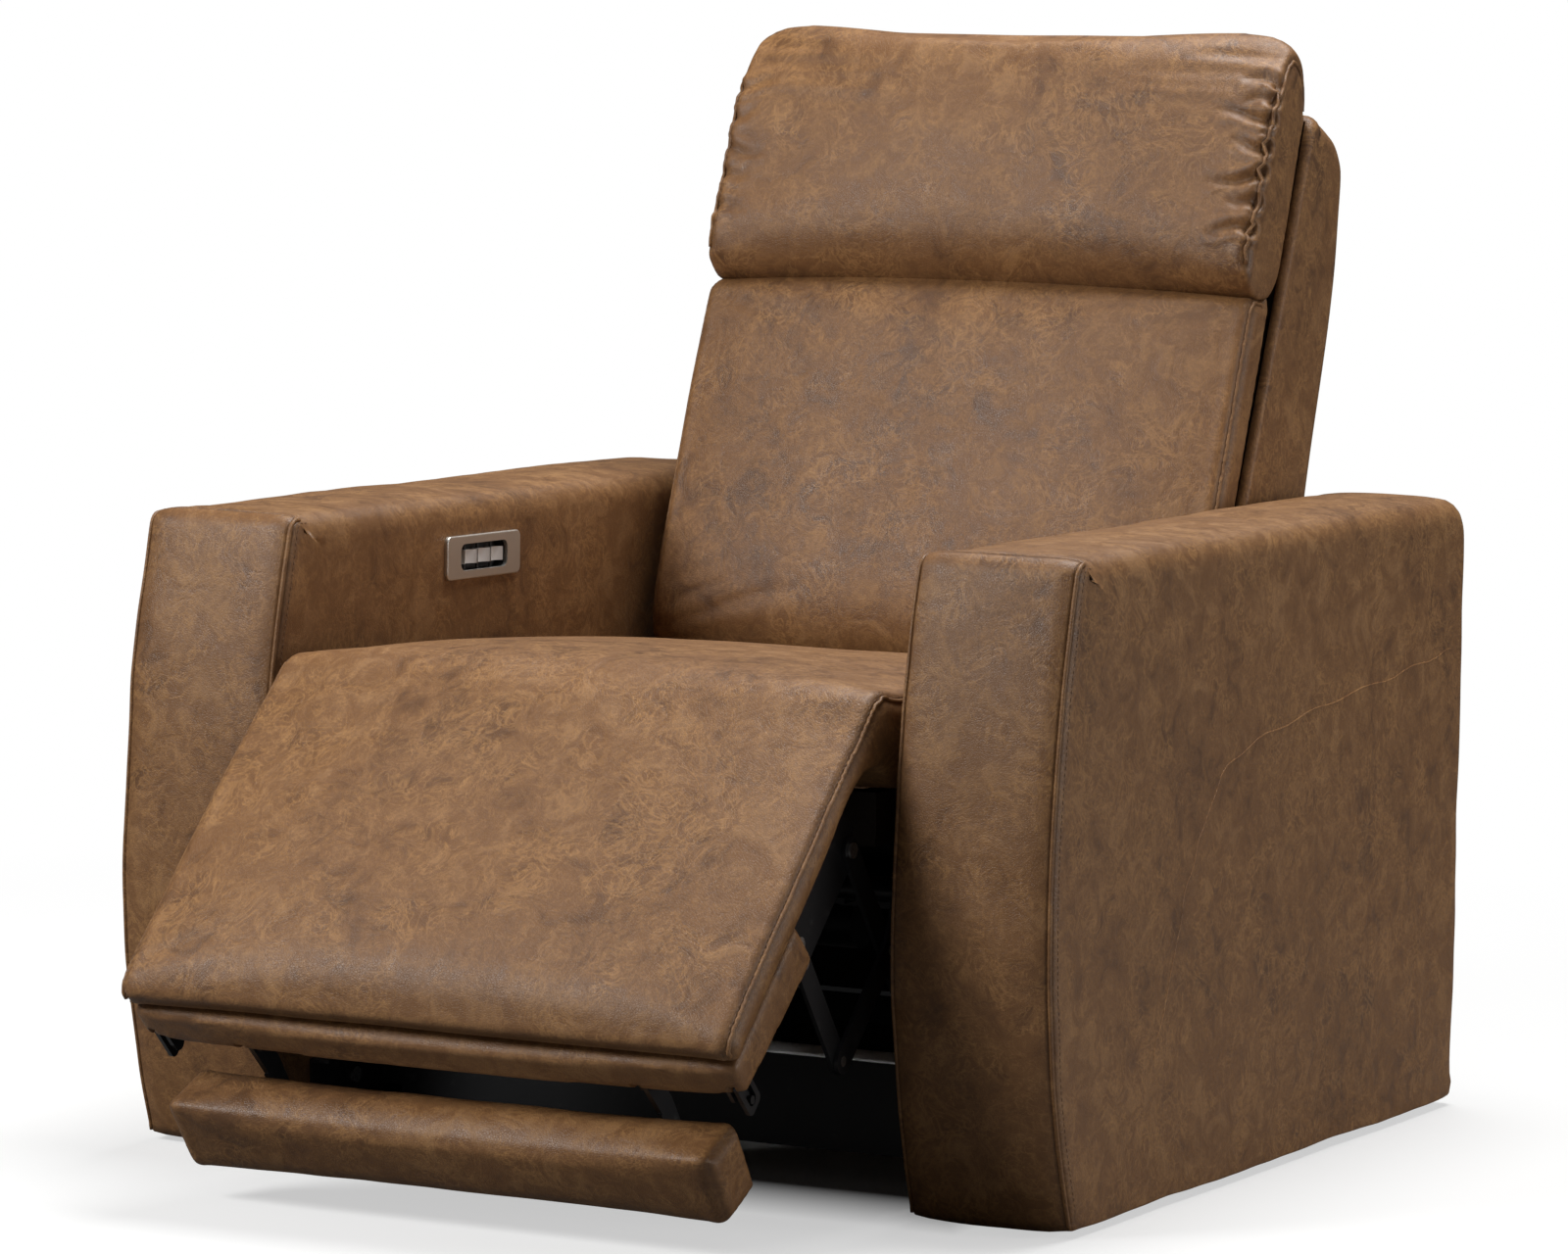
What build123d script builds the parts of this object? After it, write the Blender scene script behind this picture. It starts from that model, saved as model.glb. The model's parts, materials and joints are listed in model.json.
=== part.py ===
"""Power reclining chair: track arms, chaise legrest on an open steel linkage, reclining back, tilting headrest.

Millimetres. +Z is up and the sitter faces -Y. The origin is on the floor under the middle of the chair
as it stands here, with the legrest half open and the back upright.
"""
import os
from math import atan2, cos, degrees, hypot, radians, sin

from build123d import *

os.makedirs("parts", exist_ok=True)

# Overall sizes
SEAT_GAP = 672.0            # clear width between the arms
ARM_WIDTH = 165.0
ARM_DEPTH = 938.0           # top front edge to back
ARM_TOP = 630.0
ARM_FRONT = -332.0          # Y of the top front edge
ARM_BELLY = 46.0            # how far the front swells out
ARM_BELLY_HEIGHT = 290.0
ARM_TOE = 8.0               # set-back of the front at the floor
ARM_EDGE = 26.0             # rounding of the long top edges
ARM_BACK_ROUND = 38.0
ARM_WALL = 18.0             # padded cover over the frame
PANEL = 18.0                # timber panel of the arm frame
GLIDE_HEIGHT = 8.0
GLIDE_RADIUS = 18.0
SEAT_HEIGHT = 505.0         # crown of the seat at the front
SEAT_FALL = 50.0            # how much lower the seat is at its rear
SEAT_THICK = 110.0          # crown to underside of the seat cushion
SEAT_DEPTH = 637.0          # arm front to the foot of the back
PAD_GAP = 11.0              # seat and legrest pads to the arms
BACK_GAP = 14.0             # back cushions to the arms
LINKAGE_ROOM = 46.0         # boards to the arms, with the links between

# Fits
FIT = 0.3                   # neighbours that do not run on each other
RUN_FIT = 0.08              # radial play of a pin in its hole

# Legrest: turns about a remote centre inside the front roll of the seat
HINGE_Y = ARM_FRONT - 5.0
ROLL_RISE = 35.0            # centre to the seat's crown
HINGE_Z = SEAT_HEIGHT - ROLL_RISE
LEGREST_TILT = 45.0         # below level, as built
LEGREST_SWING = 45.0        # up to level and down to upright
NOSE = 62.0                 # radius of the seat's front roll
LEGREST_END = 421.0         # centre to the end of the legrest
PAD_LOW = 7.0               # pad underside above the centre, legrest level
PAD_SEAM = 47.0
PAD_CROWN = 20.0
LEGREST_BOARD = 22.0
WRAP_START = 250.0          # centre to the wide end of the board
WRAP_DEPTH = 38.0           # its cheeks hang this far below the centre
WRAP_WALL = 6.0
WRAP_GAP = 7.0              # cheeks inside the edge of the pad

# Linkage: parallelograms that give the remote centre
LEG_PIN_UP = (-121.0, -48.0)     # bracket pins from the centre, legrest level
LEG_PIN_LOW = (-251.0, -48.0)
FRONT_STEP = (75.0, -100.0)      # centre to the front crank pivot
REAR_STEP = (135.0, -180.0)      # centre to the rear crank pivot
PLATE = 4.0
LAYER_GAP = 0.5
LINK_WIDTH = 25.0
RIVET = 5.0
RIVET_HEAD = 7.5
HEAD_DEPTH = 2.4
MAIN_PIN = 6.0
TUBE = 12.5
TUBE_BORE = 10.0

# Flipper under the legrest end
FLIP_PIN = (-401.0, -38.0)
FLIP_RATIO = 1.8
FLIP_NEAR = 30.0
FLIP_FAR = 112.0
FLIP_LOW = 5.0
FLIP_BOARD = 15.0
FLIP_FACE = 68.0
NOSE_ARM = 25.0             # lower link's nose, pin to pin
FLIP_ARM = 18.0             # crank on the flipper shaft
SHAFT = 5.0
DRIVE_PIN = 4.0
YOKE_SLACK = 2.6

# Back and headrest
BACK_PIVOT = (ARM_FRONT + SEAT_DEPTH + 28.0, SEAT_HEIGHT - SEAT_THICK - 10.0)
BACK_TILT = 20.0
BACK_SWING = 35.0
BACK_LOW = 60.0             # ends of the lower cushion, up the back from the pivot
BACK_HIGH = 468.0
BACK_SEAT = 12.5            # rear face of the cushion behind the pivot line
BACK_CROWN = -62.0
SHELL_WALL = 12.7
SHELL_TOP = 690.0
HEAD_PIVOT = (-12.0, 516.0)
HEAD_ROLL = 44.0            # radius of the headrest's lower roll
HEAD_RISE = 250.0           # pivot to the top of the headrest
HEAD_REAR = 42.0
HEAD_SWING = 30.0

# Drives
DRIVE_X = 110.0             # actuators stand off the middle
LEG_LEVER = 60.0
BACK_LEVER = 80.0
HEAD_LEVER = 100.0
LEVER_PIN = 5.0
SCREW = 5.0
SCREW_DROP = 35.0           # lever pin to the screw under it
TRACK = (34.0, 26.0, 3.0)   # channel width, height, wall
FORK_SLACK = 1.8

# Switch
SWITCH_Y = ARM_FRONT + 357.0
SWITCH_Z = 563.0
SWITCH_PLATE = (145.0, 44.0, 4.0)
SWITCH_OPENING = (92.0, 27.0)
ROCKER = (23.0, 14.0)       # length along the arm, height
ROCKER_PITCH = 26.0
ROCKER_SHAFT = 1.5

# Places that follow from the sizes
ARM_IN = SEAT_GAP / 2
ARM_OUT = ARM_IN + ARM_WIDTH
ARM_BACK = ARM_FRONT + ARM_DEPTH
SEAT_BASE = SEAT_HEIGHT - SEAT_THICK
SEAT_REAR_HEIGHT = SEAT_HEIGHT - SEAT_FALL
PAD_HALF = ARM_IN - PAD_GAP
BACK_HALF = ARM_IN - BACK_GAP
BOARD_HALF = ARM_IN - LINKAGE_ROOM
LAYER_A = BOARD_HALF + PLATE
LAYER_B = LAYER_A + PLATE + LAYER_GAP
LAYER_C = LAYER_B + PLATE + LAYER_GAP
LAYER_D = LAYER_C + PLATE + LAYER_GAP
BOARD_TOP = PAD_LOW
BOARD_LOW = BOARD_TOP - LEGREST_BOARD
FOLD = FLIP_RATIO * LEGREST_TILT


def turned(point, angle):
    """A (y, z) point turned about X."""
    y, z = point
    c, s = cos(radians(angle)), sin(radians(angle))
    return y * c - z * s, y * s + z * c


def plus(a, b):
    """Sum of two (y, z) points."""
    return a[0] + b[0], a[1] + b[1]


CENTRE = (HINGE_Y, HINGE_Z)
P1 = plus(CENTRE, FRONT_STEP)
P2 = plus(P1, turned(LEG_PIN_UP, LEGREST_TILT))
P3 = plus(P1, turned(LEG_PIN_LOW, LEGREST_TILT))
Q1 = plus(CENTRE, REAR_STEP)
Q2 = plus(Q1, turned(LEG_PIN_UP, LEGREST_TILT))
R2 = plus(CENTRE, turned(LEG_PIN_UP, LEGREST_TILT))
R3 = plus(CENTRE, turned(LEG_PIN_LOW, LEGREST_TILT))
NOSE_PIN = plus(R3, turned((0, NOSE_ARM), LEGREST_TILT))
LEGREST = Location((0, HINGE_Y, HINGE_Z), (LEGREST_TILT, 0, 0))
FLIPPER = LEGREST * Location((0, *FLIP_PIN), (FOLD, 0, 0))
FLIP_LINK = Location((0, *NOSE_PIN), (LEGREST_TILT, 0, 0))
BACK = Location((0, *BACK_PIVOT), (-BACK_TILT, 0, 0))
HEADREST = BACK * Location((0, *HEAD_PIVOT))


def placed(frame, plane):
    """A plane of one of the frames above."""
    return Plane(frame * plane.location)


def save(part, name):
    """Label a part and write its file."""
    part.label = name
    export_step(part, f"parts/{name}.step")


def block(x, y, z, mode=Mode.ADD):
    """A box between (low, high) pairs, in the open part."""
    with Locations(((x[0] + x[1]) / 2, (y[0] + y[1]) / 2, (z[0] + z[1]) / 2)):
        Box(x[1] - x[0], y[1] - y[0], z[1] - z[0], mode=mode)


def rod(radius, x, at, mode=Mode.ADD):
    """A round bar along X between two X values, at a (y, z) point, in the open part."""
    with Locations(((x[0] + x[1]) / 2, *at)):
        Cylinder(radius, x[1] - x[0], rotation=(0, 90, 0), mode=mode)


def bar_outline(pins, width):
    """A rounded bar along the pins, in the open sketch."""
    for (y0, z0), (y1, z1) in zip(pins, pins[1:]):
        with Locations(((y0 + y1) / 2, (z0 + z1) / 2)):
            SlotCenterToCenter(hypot(y1 - y0, z1 - z0), width, rotation=degrees(atan2(z1 - z0, y1 - y0)))


def link_pair(name, layer, pins, holes):
    """Left and right flat links through the pins; holes gives the radius at each."""
    with BuildPart() as pair:
        with BuildSketch(Plane.YZ.offset(layer)):
            bar_outline(pins, LINK_WIDTH)
            for pin, radius in zip(pins, holes):
                with Locations(pin):
                    Circle(radius, mode=Mode.SUBTRACT)
        extrude(amount=PLATE)
        mirror(about=Plane.YZ)
    save(pair.part, name)


def rivets(name, pins, shank, heads, radius=RIVET, head=RIVET_HEAD):
    """Left and right rivets: a shank between two X values and heads from each X value given."""
    with BuildPart() as group:
        with BuildSketch(Plane.YZ.offset(shank[0])):
            with Locations(*pins):
                Circle(radius)
        extrude(amount=shank[1] - shank[0])
        for start in heads:
            with BuildSketch(Plane.YZ.offset(start)):
                with Locations(*pins):
                    Circle(head)
            extrude(amount=HEAD_DEPTH)
        mirror(about=Plane.YZ)
    save(group.part, name)


# Arms: padded covers over timber box frames
CAVITY_X = (ARM_IN + ARM_WALL, ARM_OUT - ARM_WALL)
CAVITY_Y = (ARM_FRONT + ARM_WALL, ARM_BACK - ARM_WALL)
CAVITY_Z = (GLIDE_HEIGHT, ARM_TOP - ARM_WALL - 6.0)
BOLT_Y = [ARM_FRONT + 120.0, (ARM_FRONT + ARM_BACK) / 2 + 11.0, ARM_BACK - 98.0]
BOLT_Z = 65.0
BOLT = 4.0
RAIL_WALL = 3.0
SWITCH_BOX = (SWITCH_OPENING[0] + 8.0, SWITCH_OPENING[1] + 7.0, 26.0)


def switch_pocket():
    """The hole for the switch box, through the inner wall of the left arm, in the open part."""
    half_y, half_z = SWITCH_BOX[0] / 2 + FIT, SWITCH_BOX[1] / 2 + FIT
    block((-CAVITY_X[0] - PANEL - 1.0, -ARM_IN + 1.0), (SWITCH_Y - half_y, SWITCH_Y + half_y),
          (SWITCH_Z - half_z, SWITCH_Z + half_z), Mode.SUBTRACT)


def arm_cover(side, name):
    """Leather-covered padding of one arm; side is +1 for the one at +X."""
    belly = (ARM_FRONT - ARM_BELLY, ARM_BELLY_HEIGHT)
    toe = (ARM_FRONT + ARM_TOE, GLIDE_HEIGHT)
    crest = (ARM_BACK, ARM_TOP)
    with BuildPart() as cover:
        with BuildSketch(Plane.YZ.offset(side * ARM_IN)) as profile:
            with BuildLine():
                TangentArc(belly, toe, tangent=(0, -1))
                TangentArc(belly, (ARM_FRONT, ARM_TOP - 8.0), tangent=(0, 1))
                Polyline((ARM_FRONT, ARM_TOP - 8.0), crest, (ARM_BACK, GLIDE_HEIGHT), toe)
            make_face()
            fillet(profile.vertices().sort_by_distance((*crest, 0))[0], ARM_BACK_ROUND)
        extrude(amount=side * ARM_WIDTH)
        long_edges = cover.edges().filter_by(
            lambda e: e.center().Z > ARM_TOP - 20.0 and e.length > ARM_DEPTH / 2)
        fillet(long_edges, ARM_EDGE)
        block(sorted((side * CAVITY_X[0], side * CAVITY_X[1])), CAVITY_Y, CAVITY_Z, Mode.SUBTRACT)
        for y in BOLT_Y:
            ends = sorted((side * (ARM_IN - 1.0), side * (CAVITY_X[0] + 1.0)))
            rod(BOLT + FIT, ends, (y, BOLT_Z), Mode.SUBTRACT)
        if side < 0:
            switch_pocket()
    save(cover.part, name)


def arm_frame(side, name):
    """Timber box frame of one arm, with windows in its side panels."""
    x = sorted((side * (CAVITY_X[0] + FIT), side * (CAVITY_X[1] - FIT)))
    y = (CAVITY_Y[0] + FIT, CAVITY_Y[1] - FIT)
    z = (CAVITY_Z[0], CAVITY_Z[1] - FIT)
    middle = (y[0] + y[1]) / 2
    with BuildPart() as frame:
        block(x, y, z)
        block((x[0] + PANEL, x[1] - PANEL), (y[0] + PANEL, y[1] - PANEL),
              (z[0] + PANEL, z[1] - PANEL), Mode.SUBTRACT)
        for low, high in ((y[0] + 80.0, middle - 40.0), (middle + 40.0, y[1] - 80.0)):
            block((x[0] - 1.0, x[1] + 1.0), (low, high), (z[0] + 110.0, z[1] - 120.0), Mode.SUBTRACT)
        for bolt_y in BOLT_Y:
            ends = sorted((side * (CAVITY_X[0] - 1.0), side * (CAVITY_X[0] + PANEL + 1.0)))
            rod(BOLT, ends, (bolt_y, BOLT_Z), Mode.SUBTRACT)
        if side < 0:
            switch_pocket()
    save(frame.part, name)


for arm_side, arm_name in ((-1, "left"), (1, "right")):
    arm_cover(arm_side, f"{arm_name}_arm_cover")
    arm_frame(arm_side, f"{arm_name}_arm_frame")

GLIDE_X = (ARM_IN + ARM_OUT) / 2
GLIDE_Y = [ARM_FRONT + 70.0, ARM_BACK - 70.0]
with BuildPart() as glides:
    with BuildSketch():
        with Locations(*[(side * GLIDE_X, y) for side in (-1, 1) for y in GLIDE_Y]):
            Circle(GLIDE_RADIUS)
    extrude(amount=GLIDE_HEIGHT)
save(glides.part, "arm_glides")

# Base: channels bolted to the arms, tied by two square tubes
RAIL_Z = (40.0, 90.0)
RAIL_Y = (ARM_FRONT + 40.0, ARM_BACK - 48.0)
RAIL_DEPTH = 22.0
CROSS = 30.0
CROSS_Z = ((RAIL_Z[0] + RAIL_Z[1] - CROSS) / 2, (RAIL_Z[0] + RAIL_Z[1] + CROSS) / 2)
FRONT_CROSS_Y = ARM_FRONT + 170.0
REAR_CROSS_Y = ARM_BACK - 138.0
KICK_Z = (30.0, 118.0)      # plate along the front cross tube
KICK = 3.0
PANEL_Z = (15.0, 290.0)     # closing panel between the arms at the rear
PANEL_INSET = 12.0
REAR_PANEL = 12.0
INLET_X = 170.0

with BuildPart() as rails:
    block((ARM_IN - RAIL_DEPTH, ARM_IN), RAIL_Y, RAIL_Z)
    block((ARM_IN - RAIL_DEPTH - 1.0, ARM_IN - RAIL_WALL), (RAIL_Y[0] - 1.0, RAIL_Y[1] + 1.0),
          (RAIL_Z[0] + RAIL_WALL, RAIL_Z[1] - RAIL_WALL), Mode.SUBTRACT)
    for y in BOLT_Y:
        rod(BOLT + FIT, (ARM_IN - RAIL_WALL - 1.0, ARM_IN + 1.0), (y, BOLT_Z), Mode.SUBTRACT)
    mirror(about=Plane.YZ)
save(rails.part, "base_rails")

rivets("arm_bolts", [(y, BOLT_Z) for y in BOLT_Y],
       (ARM_IN - RAIL_WALL - HEAD_DEPTH, CAVITY_X[0] + PANEL), [ARM_IN - RAIL_WALL - HEAD_DEPTH], BOLT, 8.0)

REACH = ARM_IN - RAIL_WALL
with BuildPart() as crosses:
    for y in (FRONT_CROSS_Y, REAR_CROSS_Y):
        block((-REACH, REACH), (y, y + CROSS), CROSS_Z)
        block((-REACH - 1.0, REACH + 1.0), (y + 2.0, y + CROSS - 2.0),
              (CROSS_Z[0] + 2.0, CROSS_Z[1] - 2.0), Mode.SUBTRACT)
    block((FIT - LAYER_D, LAYER_D - FIT), (FRONT_CROSS_Y - KICK, FRONT_CROSS_Y), KICK_Z)
save(crosses.part, "cross_tubes")

with BuildPart() as rear_panel:
    panel_y = (ARM_BACK - PANEL_INSET - REAR_PANEL, ARM_BACK - PANEL_INSET)
    block((FIT - ARM_IN, ARM_IN - FIT), panel_y, PANEL_Z)
    block((INLET_X - 35.0, INLET_X + 35.0), (panel_y[0] - 1.0, panel_y[1] + 1.0),
          (CROSS_Z[0] - 10.0, CROSS_Z[1] + 10.0), Mode.SUBTRACT)
save(rear_panel.part, "rear_panel")

# Side plates of the mechanism, standing on the base rails and carrying the seat
SEAT_RAIL_LOW = SEAT_BASE - 50.0
SEAT_FLANGE_Y = (ARM_FRONT + 215.0, ARM_FRONT + 600.0)
FRONT_TUBE = (ARM_FRONT + 300.0, BACK_PIVOT[1] - BACK_LEVER - SCREW_DROP)
REAR_TUBE = (ARM_FRONT + 602.0, Q1[1] - LEG_LEVER - SCREW_DROP)
PLATE_TOP = SEAT_BASE - 3.0
with BuildPart() as plates:
    with BuildSketch(Plane.YZ.offset(LAYER_D)) as plate_face:
        with BuildLine():
            Polyline(
                (P1[0] - 22, PLATE_TOP), (P1[0] - 22, P1[1] - 20), (Q1[0] - 22, Q1[1] - 24),
                (Q1[0] + 30, RAIL_Z[1]), (BACK_PIVOT[0] - 20, RAIL_Z[1]),
                (BACK_PIVOT[0] + 22, BACK_PIVOT[1] - 60), (BACK_PIVOT[0] + 22, BACK_PIVOT[1] + 22),
                (BACK_PIVOT[0] - 22, BACK_PIVOT[1] + 22), (BACK_PIVOT[0] - 24, PLATE_TOP), close=True)
        make_face()
        fillet(plate_face.vertices(), 4.0)
        for y, length in ((ARM_FRONT + 245.0, 90.0), (ARM_FRONT + 450.0, 130.0)):
            with Locations((y, RAIL_Z[1] + 115.0), (y, RAIL_Z[1] + 210.0)):
                SlotOverall(length, 46.0, mode=Mode.SUBTRACT)
        for at, radius in ((P1, MAIN_PIN), (Q1, MAIN_PIN), (BACK_PIVOT, MAIN_PIN)):
            with Locations(at):
                Circle(radius, mode=Mode.SUBTRACT)
    extrude(amount=PLATE)
    block((LAYER_D + PLATE, ARM_IN - RAIL_WALL), (Q1[0] + 50, BACK_PIVOT[0] - 40),
          (RAIL_Z[1], RAIL_Z[1] + PLATE))
    block((BOARD_HALF - 40.0, LAYER_D), SEAT_FLANGE_Y, (SEAT_RAIL_LOW - PLATE, SEAT_RAIL_LOW))
    mirror(about=Plane.YZ)
save(plates.part, "side_plates")

with BuildPart() as motor_tubes:
    for tube_at in (FRONT_TUBE, REAR_TUBE):
        rod(TUBE, (-LAYER_D, LAYER_D), tube_at)
        rod(TUBE_BORE, (-LAYER_D - 1.0, LAYER_D + 1.0), tube_at, Mode.SUBTRACT)
save(motor_tubes.part, "motor_tubes")

rivets("pivot_pins", [P1, Q1, BACK_PIVOT], (LAYER_C - FIT, LAYER_D + PLATE), [LAYER_D + PLATE], MAIN_PIN, 9.0)

# Seat: timber rails, sinuous springs and the cushion
RAIL_X = (BOARD_HALF - 28.0, BOARD_HALF - 2.0)
SEAT_RAIL_Y = (ARM_FRONT + 20.0, ARM_FRONT + 620.0)
with BuildPart() as side_rails:
    block(RAIL_X, SEAT_RAIL_Y, (SEAT_RAIL_LOW, SEAT_BASE))
    mirror(about=Plane.YZ)
save(side_rails.part, "seat_side_rails")

with BuildPart() as cross_rails:
    for low in (SEAT_RAIL_Y[0], SEAT_RAIL_Y[1] - 25.0):
        block((-RAIL_X[0], RAIL_X[0]), (low, low + 25.0), (SEAT_RAIL_LOW, SEAT_BASE))
save(cross_rails.part, "seat_cross_rails")

SPRING_WIRE = 4.0
SPRING_BEND = 9.0
SPRING_SWAY = 16.0
with BuildPart() as springs:
    first = SEAT_RAIL_Y[0] + 25.0
    last = SEAT_RAIL_Y[1] - 25.0
    bends = 2 * int((last - first) / (4 * SPRING_BEND))
    pitch = (last - first) / (bends + 1)
    for x in (-200.0, -100.0, 0.0, 100.0, 200.0):
        with BuildSketch(Plane.XY.offset(SEAT_BASE - SPRING_WIRE - 1.0)):
            with BuildLine():
                corners = [(x, first), (x, first + pitch / 2)]
                for k in range(bends):
                    sway = SPRING_SWAY if k % 2 == 0 else -SPRING_SWAY
                    corners += [(x + sway, first + pitch * (k + 0.5)), (x + sway, first + pitch * (k + 1.5))]
                corners += [(x, last - pitch / 2), (x, last)]
                FilletPolyline(*corners, radius=SPRING_BEND * 0.8)
            trace(line_width=SPRING_WIRE)
        extrude(amount=SPRING_WIRE)
save(springs.part, "seat_springs")


def cushion(name, frame, stations, section, notches=()):
    """A padded solid: the section function is drawn at each (x, fullness) station and lofted across."""
    with BuildPart(placed(frame, Plane.XY)) as pad:
        for x, full in stations:
            with BuildSketch(placed(frame, Plane.YZ.offset(x))):
                with BuildLine():
                    section(full)
                make_face()
        loft()
        for notch in notches:
            block(*notch, Mode.SUBTRACT)
    save(pad.part, name)


def across(half):
    """Stations over the width: full in the middle, drawn in at the sides."""
    shape = [(1.0, 0.0), (0.94, 0.55), (0.7, 0.9)]
    left = [(-half * x, full) for x, full in shape]
    return left + [(0.0, 1.0)] + [(-x, full) for x, full in reversed(left)]


def seat_section(full):
    """Side view of the seat cushion from the centre of its front roll."""
    nose = NOSE - 6.0 + 6.0 * full
    rise = SEAT_HEIGHT - HINGE_Z - 18.0 + 18.0 * full
    back = ARM_FRONT + SEAT_DEPTH - HINGE_Y
    low = SEAT_BASE - HINGE_Z
    rear = SEAT_REAR_HEIGHT - HINGE_Z - 10.0 + 10.0 * full
    lip = (-(nose ** 2 - rise ** 2) ** 0.5, rise)
    chin = (0.0, -nose)
    ThreePointArc(chin, (-nose, 0.0), lip)
    ThreePointArc(lip, (back * 0.4, rise - 2.0 + 4.0 * full), (back - 16.0, rear))
    ThreePointArc((back - 16.0, rear), (back - 4.0, rear - 12.0), (back, rear - 30.0))
    Polyline((back, rear - 30.0), (back, low), (20.0, low), chin)


cushion("seat_cushion", Location((0, HINGE_Y, HINGE_Z)), across(PAD_HALF), seat_section)

# Legrest
with BuildPart(placed(LEGREST, Plane.XY)) as board:
    wide, board_end = PAD_HALF - WRAP_GAP, 8.0 - LEGREST_END
    block((-BOARD_HALF, BOARD_HALF), (board_end, -NOSE - 22.0), (BOARD_LOW, BOARD_TOP))
    block((-wide, wide), (board_end, -WRAP_START - LINK_WIDTH), (BOARD_LOW, BOARD_TOP))
    for cheek in ((-wide, WRAP_WALL - wide), (wide - WRAP_WALL, wide)):
        block(cheek, (board_end + 14.0, -WRAP_START), (-WRAP_DEPTH, BOARD_LOW))
save(board.part, "legrest_board")


def legrest_section(full):
    """Side view of the legrest pad, level."""
    high = PAD_SEAM - 6.0 + (PAD_CROWN + 6.0) * full
    end = -LEGREST_END + 5.0 - 5.0 * full
    start = -NOSE - 1.0
    roll = 12.0 + 8.0 * full
    ThreePointArc((end + roll, PAD_LOW), (end, (PAD_LOW + high) / 2), (end + roll, high))
    ThreePointArc((end + roll, high), ((start + end) / 2, high + 3.0), (start, high - 2.0))
    Polyline((start, high - 2.0), (start, PAD_LOW), (end + roll, PAD_LOW))


cushion("legrest_pad", LEGREST, across(PAD_HALF), legrest_section)

BRACKET_Y = (8.0 - LEGREST_END, -NOSE - 38.0)
with BuildPart() as brackets:
    with BuildSketch(placed(LEGREST, Plane.YZ.offset(LAYER_A))) as bracket_face:
        with BuildLine():
            Polyline(
                (BRACKET_Y[1], BOARD_LOW), (BRACKET_Y[1], LEG_PIN_UP[1] + 4.0),
                (LEG_PIN_UP[0], LEG_PIN_UP[1] - 16.0), (LEG_PIN_LOW[0], LEG_PIN_LOW[1] - 16.0),
                (FLIP_PIN[0] + 6.0, FLIP_PIN[1] - 14.0), (BRACKET_Y[0], FLIP_PIN[1] - 8.0),
                (BRACKET_Y[0], BOARD_LOW), close=True)
        make_face()
        fillet(bracket_face.vertices().group_by(Axis.Y)[0], 6.0)
        for at, radius in ((LEG_PIN_UP, RIVET), (LEG_PIN_LOW, RIVET), (FLIP_PIN, SHAFT + RUN_FIT)):
            with Locations(at):
                Circle(radius, mode=Mode.SUBTRACT)
    extrude(amount=PLATE)
    with BuildSketch(placed(LEGREST, Plane.YZ.offset(BOARD_HALF - 40.0))):
        with Locations(((BRACKET_Y[0] + BRACKET_Y[1]) / 2, BOARD_LOW - PLATE / 2)):
            Rectangle(BRACKET_Y[1] - BRACKET_Y[0], PLATE)
    extrude(amount=LAYER_A + PLATE - BOARD_HALF + 40.0)
    mirror(about=Plane.YZ)
save(brackets.part, "legrest_brackets")

with BuildPart() as stretcher:
    rod(10.0, (-LAYER_A + HEAD_DEPTH, LAYER_A - HEAD_DEPTH), R3)
    rod(8.0, (-LAYER_A, LAYER_A), R3, Mode.SUBTRACT)
save(stretcher.part, "legrest_stretcher")

rivets("legrest_rivets", [R2, R3], (LAYER_A, LAYER_B + PLATE + FIT),
       [LAYER_A - HEAD_DEPTH, LAYER_B + PLATE + FIT])

LUG_X = 200.0
LUG = 5.0
with BuildPart() as lugs:
    with BuildSketch(placed(LEGREST, Plane.YZ.offset(LUG_X))):
        with BuildLine():
            Polyline((FLIP_PIN[0] - 11.0, BOARD_LOW), (FLIP_PIN[0] + 45.0, BOARD_LOW),
                     (FLIP_PIN[0] + 8.0, FLIP_PIN[1] - 9.0), (FLIP_PIN[0] - 8.0, FLIP_PIN[1] - 9.0),
                     (FLIP_PIN[0] - 11.0, BOARD_LOW))
        make_face()
        with Locations(FLIP_PIN):
            Circle(SHAFT + RUN_FIT, mode=Mode.SUBTRACT)
    extrude(amount=LUG)
    mirror(about=Plane.YZ)
save(lugs.part, "flipper_lugs")

# Linkage plates, from the legrest bracket outwards
HELD, LOOSE = RIVET, RIVET + RUN_FIT
link_pair("upper_links", LAYER_B, [Q2, P2, R2], [LOOSE, LOOSE, LOOSE])
link_pair("lower_links", LAYER_B, [P3, R3, NOSE_PIN], [LOOSE, LOOSE, HELD])
link_pair("front_cranks", LAYER_C, [P1, P2, P3], [MAIN_PIN + RUN_FIT, HELD, HELD])
link_pair("rear_cranks", LAYER_C, [Q1, Q2], [MAIN_PIN + RUN_FIT, HELD])
INNER_HEAD = LAYER_B - FIT - HEAD_DEPTH
rivets("front_crank_rivets", [P2, P3], (LAYER_B - FIT, LAYER_C + PLATE), [INNER_HEAD])
rivets("rear_crank_rivets", [Q2], (LAYER_B - FIT, LAYER_C + PLATE), [INNER_HEAD])
rivets("nose_rivets", [NOSE_PIN], (LAYER_B, LAYER_C + PLATE + FIT), [LAYER_C + PLATE + FIT])


def drive_lever(name, axis, length, offset):
    """Torsion tube along X with a welded lever and its cross pin, hanging from the tube."""
    pin = (axis[0], axis[1] - length)
    with BuildPart() as drive:
        rod(TUBE, (-LAYER_C, LAYER_C), axis)
        with BuildSketch(Plane.YZ.offset(offset - 4.0)):
            bar_outline([axis, pin], 20.0)
        extrude(amount=8.0)
        rod(TUBE_BORE, (-LAYER_C - 1.0, LAYER_C + 1.0), axis, Mode.SUBTRACT)
        rod(LEVER_PIN, (offset - 14.0, offset + 14.0), pin)
    save(drive.part, name)
    return pin


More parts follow.
